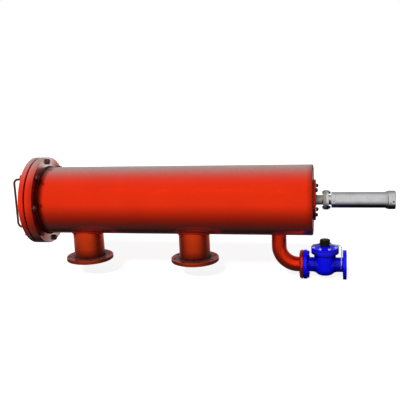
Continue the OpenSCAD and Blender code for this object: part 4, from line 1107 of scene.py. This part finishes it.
KEY_SOFTNESS = math.radians(14.0)
CAMERA_PLACE = (1.743, -4.296, 1.358)
CAMERA_YAW = 0.2060
CAMERA_PITCH = 0.2064
CAMERA_ROLL = -0.0426
CAMERA_CLIP = (0.05, 200.0)
SENSOR_WIDTH = 36.0


class FILTER_OT_stage(FilterOperator, bpy.types.Operator):
    """Lay the floor and set the light and the camera"""

    bl_idname = "filter_looks.stage"
    bl_label = "Set Stage"

    def execute(self, context):
        setting = context.scene.filter_stage
        context.scene.view_settings.view_transform = "Standard"
        self.lay_floor()
        self.light_world(context.scene, setting.fill)
        self.hang_key(setting)
        self.place_camera(context.scene, setting.lens)
        return {"FINISHED"}

    def lay_floor(self):
        """A wide square, pale to the camera. In reflections it carries a painted shade, dark near
        the object and white away from it, and to bounced light it is dark as painted shade.
        """
        corners = ((-1, -1), (1, -1), (1, 1), (-1, 1))
        points = [(x * FLOOR_HALF, y * FLOOR_HALF, FLOOR_Z) for x, y in corners]
        mesh = bpy.data.meshes.new("floor")
        mesh.from_pydata(points, [], [[0, 1, 2, 3]])
        material = bpy.data.materials.new("FloorWhite")
        material.use_nodes = True
        tree = material.node_tree
        tree.nodes.clear()
        path = put(tree, "ShaderNodeLightPath").outputs
        seen = most(tree, path["Is Camera Ray"], path["Is Transmission Ray"])
        pale = put(tree, "ShaderNodeBsdfDiffuse", {"Color": FLOOR_PALE}).outputs[0]
        glow = put(tree, "ShaderNodeEmission", {"Color": WHITE, "Strength": FLOOR_GLOW}).outputs[0]
        shown = put(tree, "ShaderNodeAddShader", {0: pale, 1: glow}).outputs[0]
        # Painted shade: dark to bounced light, so no light comes back up under the object
        dull = put(tree, "ShaderNodeBsdfDiffuse", {"Color": FLOOR_DULL}).outputs[0]
        place = put(tree, "ShaderNodeTexCoord").outputs["Object"]
        parts = split(tree, place)
        # Painted shade in reflections: dark about the object, white further off
        past = most(tree, minus(tree, parts["X"], FLOOR_DARK_X[1]),
                    minus(tree, FLOOR_DARK_X[0], parts["X"]))
        past = most(tree, past, 0.0)
        away = plus(tree, times(tree, parts["Y"], parts["Y"]), times(tree, past, past))
        level = maths(tree, "DIVIDE", away, plus(tree, away, FLOOR_FADE))
        floor_painted_shade = put(tree, "ShaderNodeEmission", {"Color": WHITE, "Strength": level}).outputs[0]
        bounced = put(tree, "ShaderNodeMixShader",
                      {0: path["Is Glossy Ray"], 1: dull, 2: floor_painted_shade}).outputs[0]
        whole = put(tree, "ShaderNodeMixShader", {0: seen, 1: bounced, 2: shown}).outputs[0]
        put(tree, "ShaderNodeOutputMaterial", {"Surface": whole})
        mesh.materials.append(material)
        floor = bpy.data.objects.new("floor", mesh)
        bpy.context.scene.collection.objects.link(floor)

    def light_world(self, scene, fill):
        """White to the camera; to reflections white in front, dimmer behind and to the right."""
        world = bpy.data.worlds.new("Studio")
        scene.world = world
        world.use_nodes = True
        tree = world.node_tree
        tree.nodes.clear()
        path = put(tree, "ShaderNodeLightPath").outputs
        way = put(tree, "ShaderNodeTexCoord").outputs["Generated"]
        parts = split(tree, way)
        back = spread(tree, parts["Y"], *WORLD_BACK)
        right = spread(tree, parts["X"], *WORLD_RIGHT)
        mirrored = times(tree, back, right)
        seen = most(tree, path["Is Camera Ray"], path["Is Transmission Ray"])
        gloss = times(tree, path["Is Glossy Ray"], minus(tree, mirrored, fill))
        level = most(tree, plus(tree, fill, gloss), seen)
        sky = put(tree, "ShaderNodeBackground", {"Color": WHITE, "Strength": level}).outputs[0]
        put(tree, "ShaderNodeOutputWorld", {"Surface": sky})

    def hang_key(self, setting):
        """A soft sun from the front, above and a little left, which no gloss mirrors."""
        lamp = bpy.data.lights.new("key", "SUN")
        lamp.energy = setting.key
        lamp.angle = KEY_SOFTNESS
        key = bpy.data.objects.new("key", lamp)
        key.rotation_euler = (math.pi / 2.0 - setting.key_rise, 0.0, -setting.key_side)
        key.visible_glossy = False
        bpy.context.scene.collection.objects.link(key)

    def place_camera(self, scene, lens):
        """The photograph's viewpoint: a place, a turn, a tilt and a small roll."""
        level = math.cos(CAMERA_PITCH)
        forward = np.array([-math.sin(CAMERA_YAW) * level, math.cos(CAMERA_YAW) * level,
                            -math.sin(CAMERA_PITCH)])
        right = np.array([math.cos(CAMERA_YAW), math.sin(CAMERA_YAW), 0.0])
        up = np.cross(right, forward)
        side = math.cos(CAMERA_ROLL) * right + math.sin(CAMERA_ROLL) * up
        top = math.cos(CAMERA_ROLL) * up - math.sin(CAMERA_ROLL) * right
        data = bpy.data.cameras.new("camera")
        data.lens = lens
        data.sensor_width = SENSOR_WIDTH
        data.clip_start, data.clip_end = CAMERA_CLIP
        camera = bpy.data.objects.new("camera", data)
        matrix = np.eye(4)
        matrix[:3, 0], matrix[:3, 1], matrix[:3, 2] = side, top, -forward
        matrix[:3, 3] = CAMERA_PLACE
        camera.matrix_world = Matrix(matrix.tolist())
        scene.collection.objects.link(camera)
        scene.camera = camera


class FILTER_PT_looks(bpy.types.Panel):
    """The filter's looks in the sidebar"""

    bl_idname = "FILTER_PT_looks"
    bl_label = "Filter Looks"
    bl_space_type = "VIEW_3D"
    bl_region_type = "UI"
    bl_category = "Filter"

    def draw(self, context):
        for settings in (context.scene.filter_finishes, context.scene.filter_welds,
                         context.scene.filter_stage):
            column = self.layout.column()
            for name in settings.__annotations__:
                column.prop(settings, name)
        for operator in OPERATORS:
            self.layout.operator(operator.bl_idname)


OPERATORS = (
    FILTER_OT_stage, FILTER_OT_paint_housing, FILTER_OT_paint_valve, FILTER_OT_finish_metal,
    FILTER_OT_finish_soft, FILTER_OT_weld_beads, FILTER_OT_fasteners, FILTER_OT_valve_spring,
)
CLASSES = (FilterFinishes, FilterWelds, FilterStage, *OPERATORS, FILTER_PT_looks)


def register():
    for cls in CLASSES:
        bpy.utils.register_class(cls)
    bpy.types.Scene.filter_finishes = bpy.props.PointerProperty(type=FilterFinishes)
    bpy.types.Scene.filter_welds = bpy.props.PointerProperty(type=FilterWelds)
    bpy.types.Scene.filter_stage = bpy.props.PointerProperty(type=FilterStage)


def unregister():
    del bpy.types.Scene.filter_stage
    del bpy.types.Scene.filter_welds
    del bpy.types.Scene.filter_finishes
    for cls in reversed(CLASSES):
        bpy.utils.unregister_class(cls)


def main():
    register()
    bpy.ops.filter_looks.stage()
    bpy.ops.filter_looks.paint_housing()
    bpy.ops.filter_looks.paint_valve()
    bpy.ops.filter_looks.finish_metal()
    bpy.ops.filter_looks.finish_soft()
    bpy.ops.filter_looks.weld_beads()
    bpy.ops.filter_looks.fasteners()
    bpy.ops.filter_looks.valve_spring()


if __name__ == "__main__":
    main()
